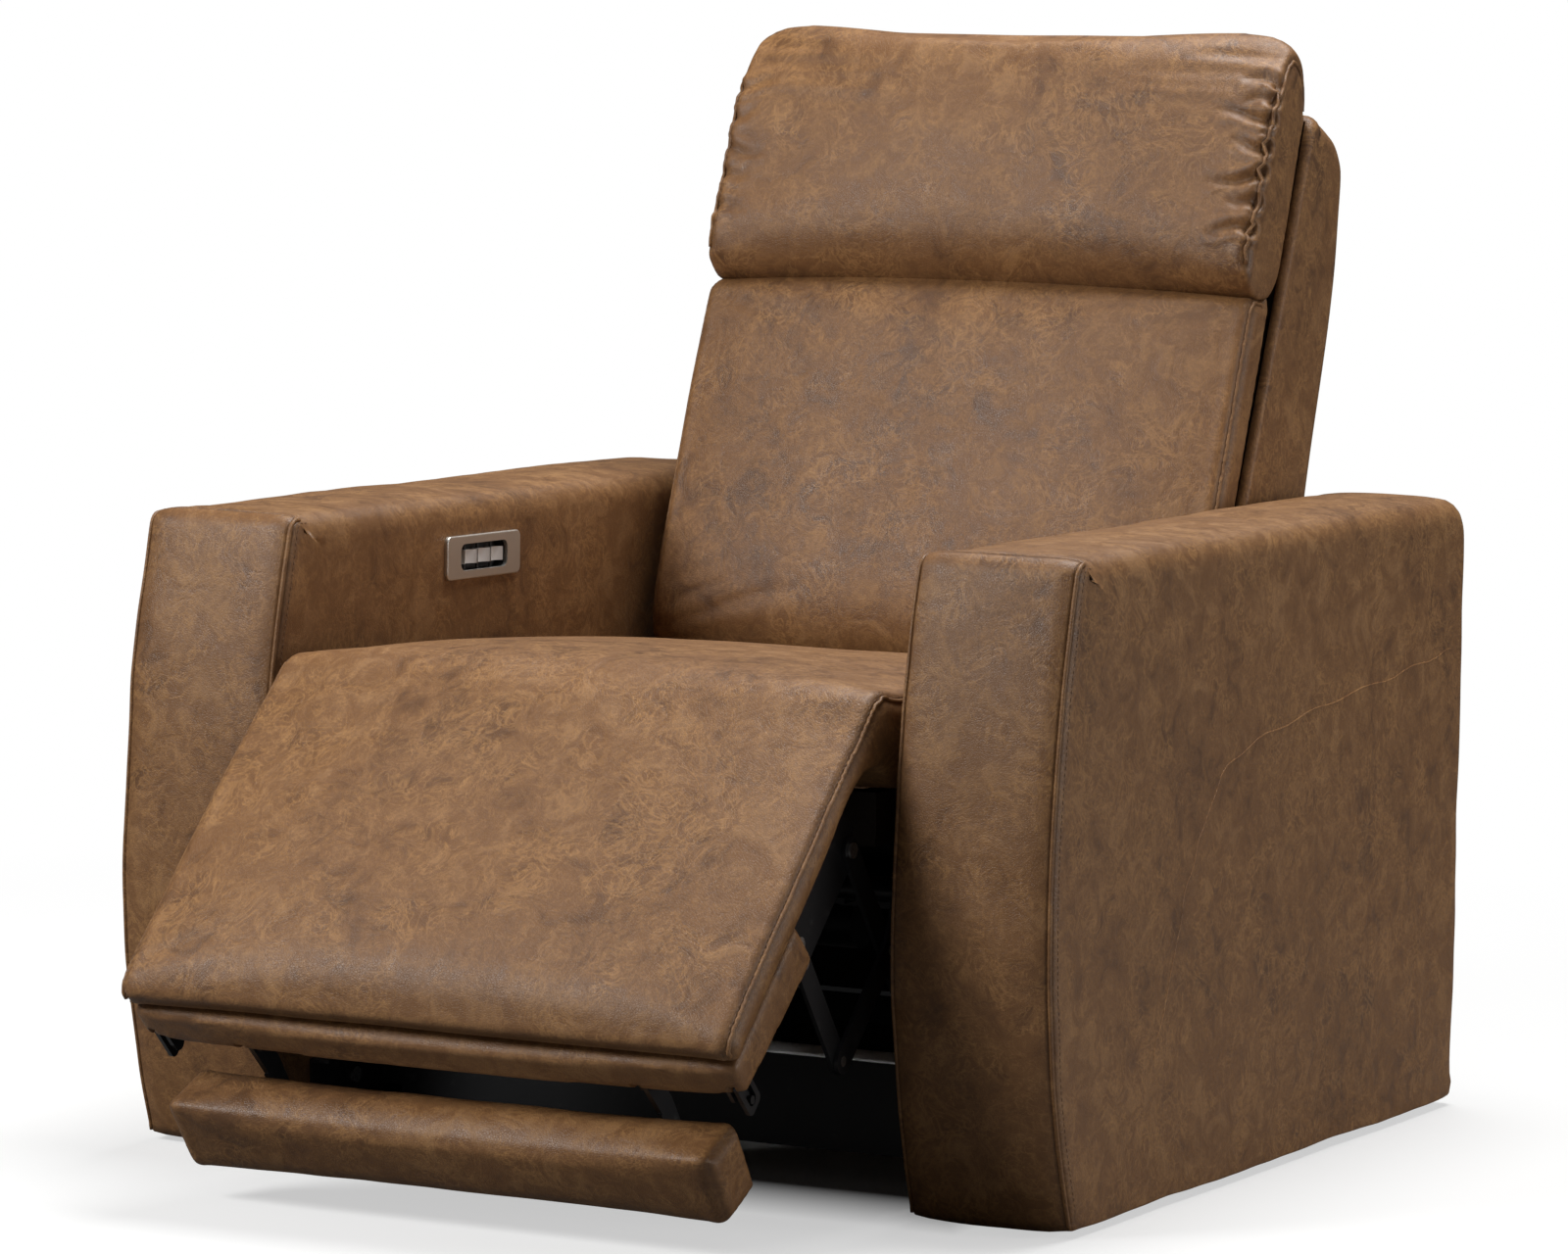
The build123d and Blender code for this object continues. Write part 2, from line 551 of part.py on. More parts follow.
LEG_DRIVE = drive_lever("drive_tube", Q1, LEG_LEVER, -DRIVE_X)
BACK_DRIVE = drive_lever("back_tube", BACK_PIVOT, BACK_LEVER, DRIVE_X)

# Flipper
with BuildPart(placed(FLIPPER, Plane.XY)) as flip_board:
    block((-BOARD_HALF + 4.0, BOARD_HALF - 4.0), (4.0 - FLIP_FAR, -4.0 - FLIP_NEAR),
          (FLIP_LOW, FLIP_LOW + FLIP_BOARD))
save(flip_board.part, "flipper_board")


def flipper_section(full):
    """Side view of the flipper pad, in line with the legrest."""
    low = FLIP_LOW + FLIP_BOARD
    face = FLIP_FACE - 5.0 + 5.0 * full
    near, far = -FLIP_NEAR - 3.0 + 3.0 * full, -FLIP_FAR + 3.0 - 3.0 * full
    ThreePointArc((near - 5.0, low), (near, (low + face) / 2), (near - 10.0, face - 4.0))
    ThreePointArc((near - 10.0, face - 4.0), ((near + far) / 2, face), (far + 10.0, face - 4.0))
    ThreePointArc((far + 10.0, face - 4.0), (far, (low + face) / 2), (far + 5.0, low))
    Line((far + 5.0, low), (near - 5.0, low))


cushion("flipper_pad", FLIPPER, across(BOARD_HALF), flipper_section)

with BuildPart() as flip_arms:
    with BuildSketch(placed(FLIPPER, Plane.YZ.offset(LUG_X + LUG + LAYER_GAP))):
        bar_outline([(0, 0), (-FLIP_NEAR - 12.0, -8.0), (-FLIP_NEAR - 48.0, -8.0)], 22.0)
        with Locations((-FLIP_NEAR - 30.0, FLIP_LOW - 5.0)):
            Rectangle(36.0, 10.0)
        with Locations((0, 0)):
            Circle(SHAFT, mode=Mode.SUBTRACT)
    extrude(amount=LUG)
    mirror(about=Plane.YZ)
save(flip_arms.part, "flipper_arms")

with BuildPart() as shaft:
    rod(SHAFT, (-LAYER_B, LAYER_B), plus(CENTRE, turned(FLIP_PIN, LEGREST_TILT)))
    for side in (-1, 1):
        with BuildSketch(placed(LEGREST, Plane.YZ.offset(side * LAYER_B))):
            bar_outline([FLIP_PIN, plus(FLIP_PIN, (0, -FLIP_ARM))], 16.0)
        extrude(amount=side * PLATE)
        with BuildSketch(placed(LEGREST, Plane.YZ.offset(side * (LAYER_B + PLATE)))):
            with Locations(plus(FLIP_PIN, (0, -FLIP_ARM))):
                Circle(DRIVE_PIN)
        extrude(amount=side * (LAYER_GAP + PLATE))
save(shaft.part, "flipper_shaft")

# Flipper links: hung on the lower links' noses, with an upright slot round the crank pin
SLOT_RUN = LEG_PIN_LOW[0] - FLIP_PIN[0]
SLOT_DEEP = LEG_PIN_LOW[1] + NOSE_ARM - FLIP_PIN[1] + FLIP_ARM
SLOT_SHALLOW = (LEG_PIN_LOW[1] + NOSE_ARM * cos(radians(LEGREST_SWING)) - FLIP_PIN[1]
                + FLIP_ARM * cos(radians(FLIP_RATIO * LEGREST_SWING)))
SLOT_MID = (-SLOT_RUN, -(SLOT_DEEP + SLOT_SHALLOW) / 2)
SLOT_LONG = SLOT_DEEP - SLOT_SHALLOW + 2 * DRIVE_PIN + 2.0
SLOT_WIDE = 2 * (DRIVE_PIN + YOKE_SLACK)
with BuildPart() as flip_links:
    with BuildSketch(placed(FLIP_LINK, Plane.YZ.offset(LAYER_C))):
        bar_outline([(0, 0), (SLOT_MID[0] + 8.0, 0)], 16.0)
        with Locations(SLOT_MID):
            RectangleRounded(SLOT_WIDE + 12.0, SLOT_LONG + 12.0, 6.0)
            RectangleRounded(SLOT_WIDE, SLOT_LONG, SLOT_WIDE / 2 - 0.1, mode=Mode.SUBTRACT)
        Circle(LOOSE, mode=Mode.SUBTRACT)
    extrude(amount=PLATE)
    mirror(about=Plane.YZ)
save(flip_links.part, "flipper_links")


def actuator(prefix, pin, offset, away, rise, run, tube_at):
    """Screw drive along Y: a track, a screw, a forked slider on the lever pin and a geared motor.

    away is the Y direction from the slider to the motor, rise how far the lever pin climbs, run how far the
    track goes past the slider, and tube_at the cross tube that the motor's lug is clamped on. The track and the
    screw are handed back, to be written with those of the other drive.
    """
    wide, tall, wall = TRACK
    screw_z = pin[1] - SCREW_DROP
    low = screw_z - tall / 2 - wall / 2
    gear = 62.0
    gear_end = tube_at[0] - away * 46.0
    gear_start = gear_end - away * gear
    track_y = sorted((pin[0] - away * run, gear_start))
    with BuildPart() as track:
        block((offset - wide / 2, offset + wide / 2), track_y, (low, low + tall))
        block((offset - wide / 2 + wall, offset + wide / 2 - wall), (track_y[0] - 1.0, track_y[1] + 1.0),
              (low + wall, low + tall + 1.0), Mode.SUBTRACT)
        cap = sorted((pin[0] - away * run, pin[0] - away * (run - 4.0)))
        block((offset - wide / 2, offset + wide / 2), cap, (low, low + tall))
        with Locations((offset, (cap[0] + cap[1]) / 2, screw_z)):
            Cylinder(SCREW + RUN_FIT, 6.0, rotation=(90, 0, 0), mode=Mode.SUBTRACT)
    screw_y = sorted((pin[0] - away * run, gear_start))
    with BuildPart() as screw:
        with Locations((offset, (screw_y[0] + screw_y[1]) / 2, screw_z)):
            Cylinder(SCREW, screw_y[1] - screw_y[0], rotation=(90, 0, 0))
    top = pin[1] + rise + LEVER_PIN + 1.0
    with BuildPart() as slider:
        inner = wide / 2 - wall - FIT
        block((offset - inner, offset + inner), (pin[0] - 22.0, pin[0] + 22.0),
              (low + wall + FIT, screw_z + tall / 2))
        block((offset - 20.0, offset + 20.0), (pin[0] - 22.0, pin[0] + 22.0),
              (low + tall + FIT, screw_z + 20.0))
        for x in (offset - 13.0, offset + 7.0):
            block((x, x + 6.0), (pin[0] - 17.0, pin[0] + 17.0), (screw_z + 20.0, top + 8.0))
        with BuildSketch(Plane.YZ.offset(offset - 21.0)):
            with Locations((pin[0], (pin[1] - LEVER_PIN - 1.0 + top) / 2)):
                Rectangle(2 * (LEVER_PIN + FORK_SLACK), top - pin[1] + LEVER_PIN + 1.0)
        extrude(amount=42.0, mode=Mode.SUBTRACT)
        with Locations((offset, pin[0], screw_z)):
            Cylinder(SCREW + RUN_FIT, 60.0, rotation=(90, 0, 0), mode=Mode.SUBTRACT)
    save(slider.part, f"{prefix}_slider")
    inward = -1.0 if offset > 0 else 1.0
    middle = (gear_start + gear_end) / 2
    with BuildPart() as motor:
        block((offset - 32.0, offset + 32.0), sorted((gear_start, gear_end)), (screw_z - 30.0, screw_z + 34.0))
        fillet(motor.edges().filter_by(Axis.Y), 8.0)
        can = sorted((offset + inward * 30.0, offset + inward * 128.0))
        rod(26.0, can, (middle, screw_z + 2.0))
        block((offset - 13.0, offset + 13.0), sorted((gear_end - away * 2.0, tube_at[0] + away * 20.0)),
              (tube_at[1] - 19.0, tube_at[1] + 19.0))
        rod(TUBE, (offset - 14.0, offset + 14.0), tube_at, Mode.SUBTRACT)
    save(motor.part, f"{prefix}_motor")
    return track.part, screw.part


LEG_SCREW = actuator("legrest", LEG_DRIVE, -DRIVE_X, 1.0, LEG_LEVER * (1 - cos(radians(LEGREST_SWING))), 85.0,
                     REAR_TUBE)
BACK_SCREW = actuator("back", BACK_DRIVE, DRIVE_X, -1.0, BACK_LEVER * (1 - cos(radians(BACK_SWING))), 40.0,
                      FRONT_TUBE)
for piece, drive_name in ((0, "drive_tracks"), (1, "drive_screws")):
    with BuildPart() as both:
        add(LEG_SCREW[piece])
        add(BACK_SCREW[piece])
    save(both.part, drive_name)

# Back: timber frame, webbing, cushion and outer shell
FRAME_FRONT = BACK_SEAT + 3.0
UPPER_FRONT = HEAD_PIVOT[0] + HEAD_REAR + 14.0
STILE_X = (LAYER_C - 28.0, LAYER_C)
SHELL_IN = LAYER_C + PLATE + FIT
FRAME_TOP = SHELL_TOP - SHELL_WALL - FIT
BACK_RAIL_TOP = HEAD_PIVOT[1] - 18.0
with BuildPart(placed(BACK, Plane.XY)) as back_frame:
    for side in (-1, 1):
        stile = sorted((side * STILE_X[0], side * STILE_X[1]))
        block(stile, (FRAME_FRONT, FRAME_FRONT + 34.0), (BACK_LOW, BACK_HIGH - 4.0))
        block(stile, (UPPER_FRONT, UPPER_FRONT + 30.0), (BACK_HIGH - 60.0, FRAME_TOP))
        block(stile, (FRAME_FRONT, UPPER_FRONT + 30.0), (BACK_HIGH - 60.0, BACK_HIGH - 4.0))
    block((-STILE_X[0], STILE_X[0]), (FRAME_FRONT, FRAME_FRONT + 34.0), (BACK_LOW, BACK_LOW + 45.0))
    for top in (BACK_RAIL_TOP, FRAME_TOP):
        block((-STILE_X[0], STILE_X[0]), (UPPER_FRONT, UPPER_FRONT + 18.0), (top - 38.0, top))
save(back_frame.part, "back_frame")

with BuildPart(placed(BACK, Plane.XY)) as webbing:
    for k in range(4):
        low = BACK_LOW + 70.0 + 80.0 * k
        block((-STILE_X[1], STILE_X[1]), (FRAME_FRONT - 2.5, FRAME_FRONT), (low, low + 50.0))
save(webbing.part, "back_webbing")

with BuildPart() as back_hinges:
    with BuildSketch(placed(BACK, Plane.YZ.offset(LAYER_C))) as hinge_face:
        with BuildLine():
            Polyline((-16, -16), (18, -16), (FRAME_FRONT + 32.0, BACK_LOW), (FRAME_FRONT + 32.0, 230.0),
                     (FRAME_FRONT + 4.0, 230.0), (FRAME_FRONT + 4.0, BACK_LOW - 8.0), (-16, 14), close=True)
        make_face()
        fillet(hinge_face.vertices(), 8.0)
        Circle(MAIN_PIN + RUN_FIT, mode=Mode.SUBTRACT)
    extrude(amount=PLATE)
    mirror(about=Plane.YZ)
save(back_hinges.part, "back_hinges")


def back_section(full):
    """Side view of the lower back cushion, upright: +Y is to its rear."""
    front = BACK_CROWN + 26.0 - 26.0 * full
    high = BACK_HIGH - 10.0 + 8.0 * full
    low = BACK_LOW + 6.0 - 4.0 * full
    Line((BACK_SEAT, low), (BACK_SEAT, high))
    ThreePointArc((BACK_SEAT, high), (front + 30.0, high - 2.0), (front + 6.0, high - 30.0))
    ThreePointArc((front + 6.0, high - 30.0), (front, (high + low) / 2), (front + 16.0, low + 22.0))
    ThreePointArc((front + 16.0, low + 22.0), (front + 22.0, low + 8.0), (front + 34.0, low))
    Line((front + 34.0, low), (BACK_SEAT, low))


cushion("back_cushion", BACK, across(BACK_HALF), back_section)

SHELL_OUT = SHELL_IN + SHELL_WALL
SHELL_FRONT = FRAME_FRONT
SHELL_UPPER = HEAD_PIVOT[0] + HEAD_ROLL + 3.0
SHELL_REAR = [(185.0, -50.0), (190.0, 120.0), (183.0, 326.0), (166.0, 546.0), (128.0, SHELL_TOP)]
SHELL_FOOT = 78.0
with BuildPart() as shell:
    with BuildSketch(placed(BACK, Plane.YZ.offset(-SHELL_OUT))) as outline:
        with BuildLine():
            ThreePointArc(SHELL_REAR[0], SHELL_REAR[1], SHELL_REAR[2])
            Polyline(*SHELL_REAR[2:], (SHELL_UPPER, SHELL_TOP), (SHELL_UPPER, BACK_HIGH - 4.0),
                     (SHELL_FRONT, BACK_HIGH - 4.0), (SHELL_FRONT, SHELL_FOOT), SHELL_REAR[0])
        make_face()
        fillet(outline.vertices().sort_by_distance((*SHELL_REAR[4], 0))[0], 48.0)
        fillet(outline.vertices().sort_by_distance((*SHELL_REAR[3], 0))[0], 200.0)
        fillet(outline.vertices().sort_by_distance((SHELL_UPPER, SHELL_TOP, 0))[0], 12.0)
    extrude(amount=2 * SHELL_OUT)
    rear_edges = shell.faces().filter_by(Axis.X).edges().filter_by(
        lambda e: (BACK.inverse() * Pos(*e.center())).position.Y > SHELL_UPPER + 20.0
        and e.center().Z > BACK_PIVOT[1] - 60.0)
    fillet(rear_edges.filter_by(lambda e: (BACK.inverse() * Pos(*e.center())).position.Z > 60.0), 22.0)
    with BuildSketch(placed(BACK, Plane.YZ.offset(-SHELL_IN))):
        with BuildLine():
            inner = [(y - SHELL_WALL, z) for y, z in SHELL_REAR]
            Polyline((inner[0][0], inner[0][1] - 60.0), inner[1], inner[2], inner[3],
                     (inner[4][0] - 14.0, SHELL_TOP - SHELL_WALL), (SHELL_FRONT - 5.0, SHELL_TOP - SHELL_WALL),
                     (SHELL_FRONT - 5.0, SHELL_FOOT - 90.0), close=True)
        make_face()
    extrude(amount=2 * SHELL_IN, mode=Mode.SUBTRACT)
save(shell.part, "back_shell")

# Headrest: board, hinge plates, pillow and its push rod
HEAD_HINGE_X = BACK_HALF - 72.0
HEAD_BOARD = (HEAD_REAR + FIT, HEAD_REAR + 12.0)
HINGE_PLATE = 6.0


def headrest_section(full):
    """Side view of the headrest pillow from its pivot: +Y is to its rear."""
    front = -HEAD_ROLL - 8.0 * full
    roll = HEAD_ROLL - 6.0 + 6.0 * full
    top = HEAD_RISE - 46.0 + 46.0 * full
    rear_drop = -(HEAD_ROLL ** 2 - HEAD_REAR ** 2) ** 0.5
    ThreePointArc((HEAD_REAR, rear_drop * full), (0.0, -roll), (-roll, 0.0))
    ThreePointArc((-roll, 0.0), (front - 4.0 * full, top * 0.42), (front + 6.0, top - 52.0))
    ThreePointArc((front + 6.0, top - 52.0), (-8.0, top), (HEAD_REAR, top - 60.0))
    Line((HEAD_REAR, top - 60.0), (HEAD_REAR, rear_drop * full))


HINGE_NOTCHES = [((x - 16.0, x + 16.0), (-18.0, HEAD_REAR + 1.0), (-HEAD_ROLL - 1.0, HEAD_ROLL + 10.0))
                 for x in (-HEAD_HINGE_X, HEAD_HINGE_X)]
cushion("headrest_pillow", HEADREST, across(BACK_HALF), headrest_section, HINGE_NOTCHES)

with BuildPart() as head_frame:
    with BuildSketch(placed(HEADREST, Plane.XY.offset(26.0))):
        with Locations((0, (HEAD_BOARD[0] + HEAD_BOARD[1]) / 2)):
            Rectangle(2 * (HEAD_HINGE_X + 30.0), HEAD_BOARD[1] - HEAD_BOARD[0])
    extrude(amount=HEAD_RISE - 120.0)
    for x in (-HEAD_HINGE_X - HINGE_PLATE / 2, HEAD_HINGE_X - HINGE_PLATE / 2):
        with BuildSketch(placed(HEADREST, Plane.YZ.offset(x))):
            bar_outline([(0, 0), (HEAD_BOARD[0] - 4.0, 36.0)], 18.0)
            Circle(RIVET + RUN_FIT, mode=Mode.SUBTRACT)
        extrude(amount=HINGE_PLATE)
    with BuildSketch(placed(HEADREST, Plane.YZ.offset(-4.0))):
        bar_outline([(HEAD_BOARD[1], 40.0), (HEAD_LEVER, 0)], 18.0)
    extrude(amount=8.0)
    with BuildSketch(placed(HEADREST, Plane.YZ.offset(-14.0))):
        with Locations((HEAD_LEVER, 0)):
            Circle(DRIVE_PIN)
    extrude(amount=28.0)
save(head_frame.part, "headrest_frame")

with BuildPart() as head_hinges:
    outer_x = HEAD_HINGE_X + HINGE_PLATE / 2 + LAYER_GAP
    with BuildSketch(placed(HEADREST, Plane.YZ.offset(outer_x))):
        bar_outline([(0, 0), (UPPER_FRONT - HEAD_PIVOT[0] - 12.0, -36.0)], 18.0)
        with Locations((UPPER_FRONT - HEAD_PIVOT[0] - 6.0, -36.0)):
            Rectangle(12.0, 36.0)
    extrude(amount=HINGE_PLATE)
    with BuildSketch(placed(HEADREST, Plane.YZ.offset(HEAD_HINGE_X - HINGE_PLATE / 2 - 2.0))):
        Circle(RIVET)
    extrude(amount=HINGE_PLATE + 2.0 + LAYER_GAP)
    mirror(about=Plane.YZ)
save(head_hinges.part, "headrest_hinges")

ROD_Y = HEAD_PIVOT[0] + HEAD_LEVER
ROD_PIN = HEAD_PIVOT[1]
HEAD_DRAW = HEAD_LEVER * (1 - cos(radians(HEAD_SWING)))
ROD = 7.0
with BuildPart() as push_rod:
    with BuildSketch(placed(BACK, Plane.XY.offset(ROD_PIN - 190.0))):
        with Locations((0, ROD_Y)):
            Circle(ROD)
    extrude(amount=174.0)
    with BuildSketch(placed(BACK, Plane.XY.offset(ROD_PIN - 24.0))):
        with Locations((0, ROD_Y - HEAD_DRAW / 2)):
            Rectangle(28.0, 34.0)
    extrude(amount=10.0)
    for x in (-13.0, 7.0):
        with BuildSketch(placed(BACK, Plane.YZ.offset(x))):
            with Locations((ROD_Y - HEAD_DRAW / 2, ROD_PIN - 2.0)):
                Rectangle(34.0, 26.0)
            with Locations((ROD_Y - HEAD_DRAW / 2, ROD_PIN)):
                Rectangle(HEAD_DRAW + 2 * DRIVE_PIN + 2.0, 2 * DRIVE_PIN + 2.4, mode=Mode.SUBTRACT)
        extrude(amount=6.0)
save(push_rod.part, "headrest_rod")

with BuildPart() as head_motor:
    with BuildSketch(placed(BACK, Plane.XY.offset(BACK_LOW + 160.0))):
        with Locations((0, ROD_Y)):
            RectangleRounded(70.0, 56.0, 8.0)
    extrude(amount=70.0)
    with BuildSketch(placed(BACK, Plane.XY.offset(BACK_LOW + 230.0))):
        with Locations((0, ROD_Y)):
            Circle(13.0)
    extrude(amount=ROD_PIN - 60.0 - BACK_LOW - 230.0)
    with BuildSketch(placed(BACK, Plane.XY.offset(ROD_PIN - 192.0))):
        with Locations((0, ROD_Y)):
            Circle(ROD + RUN_FIT)
    extrude(amount=140.0, mode=Mode.SUBTRACT)
    with BuildSketch(placed(BACK, Plane.XY.offset(BACK_LOW + 20.0))):
        with Locations((0, (FRAME_FRONT + 34.0 + ROD_Y + 8.0) / 2)):
            Rectangle(40.0, ROD_Y + 8.0 - FRAME_FRONT - 34.0)
    extrude(amount=142.0)
save(head_motor.part, "headrest_motor")

# Switch in the left arm
SWITCH = Location((-ARM_IN, SWITCH_Y, SWITCH_Z))
with BuildPart() as switch_plate:
    with BuildSketch(placed(SWITCH, Plane.YZ)):
        RectangleRounded(SWITCH_PLATE[0], SWITCH_PLATE[1], 7.0)
        RectangleRounded(SWITCH_OPENING[0], SWITCH_OPENING[1], 8.0, mode=Mode.SUBTRACT)
    extrude(amount=SWITCH_PLATE[2])
    fillet(switch_plate.faces().sort_by(Axis.X)[-1].outer_wire().edges(), 1.5)
save(switch_plate.part, "switch_plate")

AXLE = -5.0
with BuildPart() as insert:
    with BuildSketch(placed(SWITCH, Plane.YZ.offset(-SWITCH_BOX[2]))):
        RectangleRounded(SWITCH_BOX[0], SWITCH_BOX[1], 4.0)
    extrude(amount=SWITCH_BOX[2])
    with BuildSketch(placed(SWITCH, Plane.YZ.offset(-11.0))):
        RectangleRounded(SWITCH_OPENING[0], SWITCH_OPENING[1], 8.0)
    extrude(amount=12.0, mode=Mode.SUBTRACT)
    with BuildSketch(placed(SWITCH, Plane.XY.offset(-SWITCH_OPENING[1] / 2 - 1.0))):
        with Locations(*[(AXLE, slot * ROCKER_PITCH) for slot in (-1, 0, 1)]):
            Circle(ROCKER_SHAFT)
    extrude(amount=SWITCH_OPENING[1] + 2.0)
save(insert.part, "switch_insert")

HORN = 3.4
DISH = -1.0
for slot, rocker_name in ((-1, "legrest_rocker"), (0, "back_rocker"), (1, "headrest_rocker")):
    middle = slot * ROCKER_PITCH
    near, far = middle - ROCKER[0] / 2, middle + ROCKER[0] / 2
    with BuildPart() as rocker:
        with BuildSketch(placed(SWITCH, Plane.XY.offset(-ROCKER[1] / 2))):
            with BuildLine():
                ThreePointArc((HORN, far), (DISH, middle), (HORN, near))
                Polyline((HORN, near), (-2.0, near), (AXLE - 3.0, middle - 5.0), (AXLE - 3.0, middle + 5.0),
                         (-2.0, far), (HORN, far))
            make_face()
            with Locations((AXLE, middle)):
                Circle(ROCKER_SHAFT + RUN_FIT, mode=Mode.SUBTRACT)
        extrude(amount=ROCKER[1])
    save(rocker.part, rocker_name)

# Electrics on the rear cross tube
with BuildPart() as box:
    block((-60.0, 60.0), (REAR_CROSS_Y - 20.0, REAR_CROSS_Y + 50.0), (CROSS_Z[1], CROSS_Z[1] + 34.0))
    fillet(box.edges().filter_by(Axis.Z), 6.0)
save(box.part, "control_box")

with BuildPart() as inlet:
    rear_face = REAR_CROSS_Y + CROSS
    block((INLET_X - 20.0, INLET_X + 20.0), (rear_face, rear_face + 20.0), (CROSS_Z[0] + 2.0, CROSS_Z[1] - 2.0))
    with Locations((INLET_X, rear_face + 13.0, (CROSS_Z[0] + CROSS_Z[1]) / 2)):
        Cylinder(4.0, 14.0, rotation=(90, 0, 0), mode=Mode.SUBTRACT)
save(inlet.part, "power_inlet")
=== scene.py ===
import json
from math import cos, pi, radians, sin

import bmesh
import bpy
import numpy as np
from bpy.props import FloatProperty, FloatVectorProperty, IntProperty, PointerProperty
from mathutils import Matrix, Vector, noise
from mathutils.bvhtree import BVHTree
from mathutils.kdtree import KDTree


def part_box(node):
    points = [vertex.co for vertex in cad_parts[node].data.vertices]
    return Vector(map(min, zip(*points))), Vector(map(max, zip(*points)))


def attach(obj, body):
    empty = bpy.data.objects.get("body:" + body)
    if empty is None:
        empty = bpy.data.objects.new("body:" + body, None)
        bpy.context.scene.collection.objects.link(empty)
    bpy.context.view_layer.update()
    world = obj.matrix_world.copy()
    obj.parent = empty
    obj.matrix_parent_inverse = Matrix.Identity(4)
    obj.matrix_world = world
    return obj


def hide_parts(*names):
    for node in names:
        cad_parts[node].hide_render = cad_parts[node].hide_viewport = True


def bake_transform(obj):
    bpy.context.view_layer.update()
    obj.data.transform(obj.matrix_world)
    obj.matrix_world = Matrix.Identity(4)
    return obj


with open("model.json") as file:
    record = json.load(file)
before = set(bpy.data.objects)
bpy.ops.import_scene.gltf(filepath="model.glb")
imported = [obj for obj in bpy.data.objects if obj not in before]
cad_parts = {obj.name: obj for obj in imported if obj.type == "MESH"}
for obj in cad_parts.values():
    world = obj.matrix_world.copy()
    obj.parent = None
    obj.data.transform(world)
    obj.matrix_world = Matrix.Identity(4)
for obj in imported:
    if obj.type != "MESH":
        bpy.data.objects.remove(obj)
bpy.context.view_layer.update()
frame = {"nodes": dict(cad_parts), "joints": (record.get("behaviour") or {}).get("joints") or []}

bl_info = {
    "name": "Power reclining chair",
    "version": (1, 0, 0),
    "blender": (4, 5, 0),
    "location": "View3D > Sidebar > Chair",
    "description": "Dresses the solids of a power reclining chair in leather, steel and nickel",
    "category": "Object",
}

JOINTS = {joint["name"]: Vector(joint["pos_m"]) for joint in frame["joints"] if "pos_m" in joint}


def turned_frame(origin, angle):
    """A frame on the chair's middle plane, turned about X by degrees."""
    return Matrix.Translation(origin) @ Matrix.Rotation(radians(angle), 4, "X")


HINGE = JOINTS["legrest_lift"]
LEGREST = turned_frame(HINGE, 45)
FLIPPER = turned_frame(JOINTS["flipper_fold"], 126)
BACK = turned_frame(JOINTS["back_recline"], -20)
HEADREST = turned_frame(JOINTS["headrest_tilt"], -20)
CHAIR = Matrix.Identity(4)


# Sizes and colours a user would change

def length(name, description, default):
    """A length property in metres."""
    return FloatProperty(name=name, description=description, default=default, min=0.0, unit="LENGTH")


def colour(name, description, default):
    """A linear RGB colour property."""
    return FloatVectorProperty(name=name, description=description, default=default, min=0.0, max=1.0,
                               size=3, subtype="COLOR")


class ChairSizes(bpy.types.PropertyGroup):
    """Sizes of the upholstery and its sewing."""
    arm_edge: length("Arm edge", "Rounding of the long top edges of the arms", 0.024)
    panel_edge: length("Panel edge", "Rounding beside the welts of the arm fronts", 0.008)
    welt: length("Welt", "Radius of the piped welts", 0.0021)
    stitch: length("Stitch", "Length of one stitch", 0.0042)
    stitch_pitch: length("Stitch pitch", "Distance from stitch to stitch", 0.0062)
    thread: length("Thread", "Thickness of the thread", 0.0009)
    skin: length("Skin", "Edge length of the padded skins before they are filled", 0.006)
    pressure: FloatProperty(name="Pressure", description="Air pressure that fills the pads",
                            default=4.0, min=0.0)
    frames: IntProperty(name="Frames", description="Steps of the filling", default=20, min=2)


class ChairColours(bpy.types.PropertyGroup):
    """Colours of the finishes."""
    hide: colour("Hide", "Middle tone of the leather", (0.166, 0.078, 0.030))
    hide_dark: colour("Dark hide", "Deep tone of the leather", (0.112, 0.053, 0.023))
    hide_pale: colour("Pale hide", "Rubbed tone of the leather", (0.220, 0.112, 0.046))
    scuff: colour("Scuff", "Golden lines in the leather", (0.330, 0.172, 0.064))
    thread: colour("Thread", "Sewing thread", (0.120, 0.062, 0.030))
    steel: colour("Painted steel", "Paint of the linkage", (0.010, 0.010, 0.011))
    nickel: colour("Nickel", "Switch plate", (0.540, 0.500, 0.440))
    floor: colour("Floor", "Studio floor", (0.860, 0.860, 0.850))


# Finishes

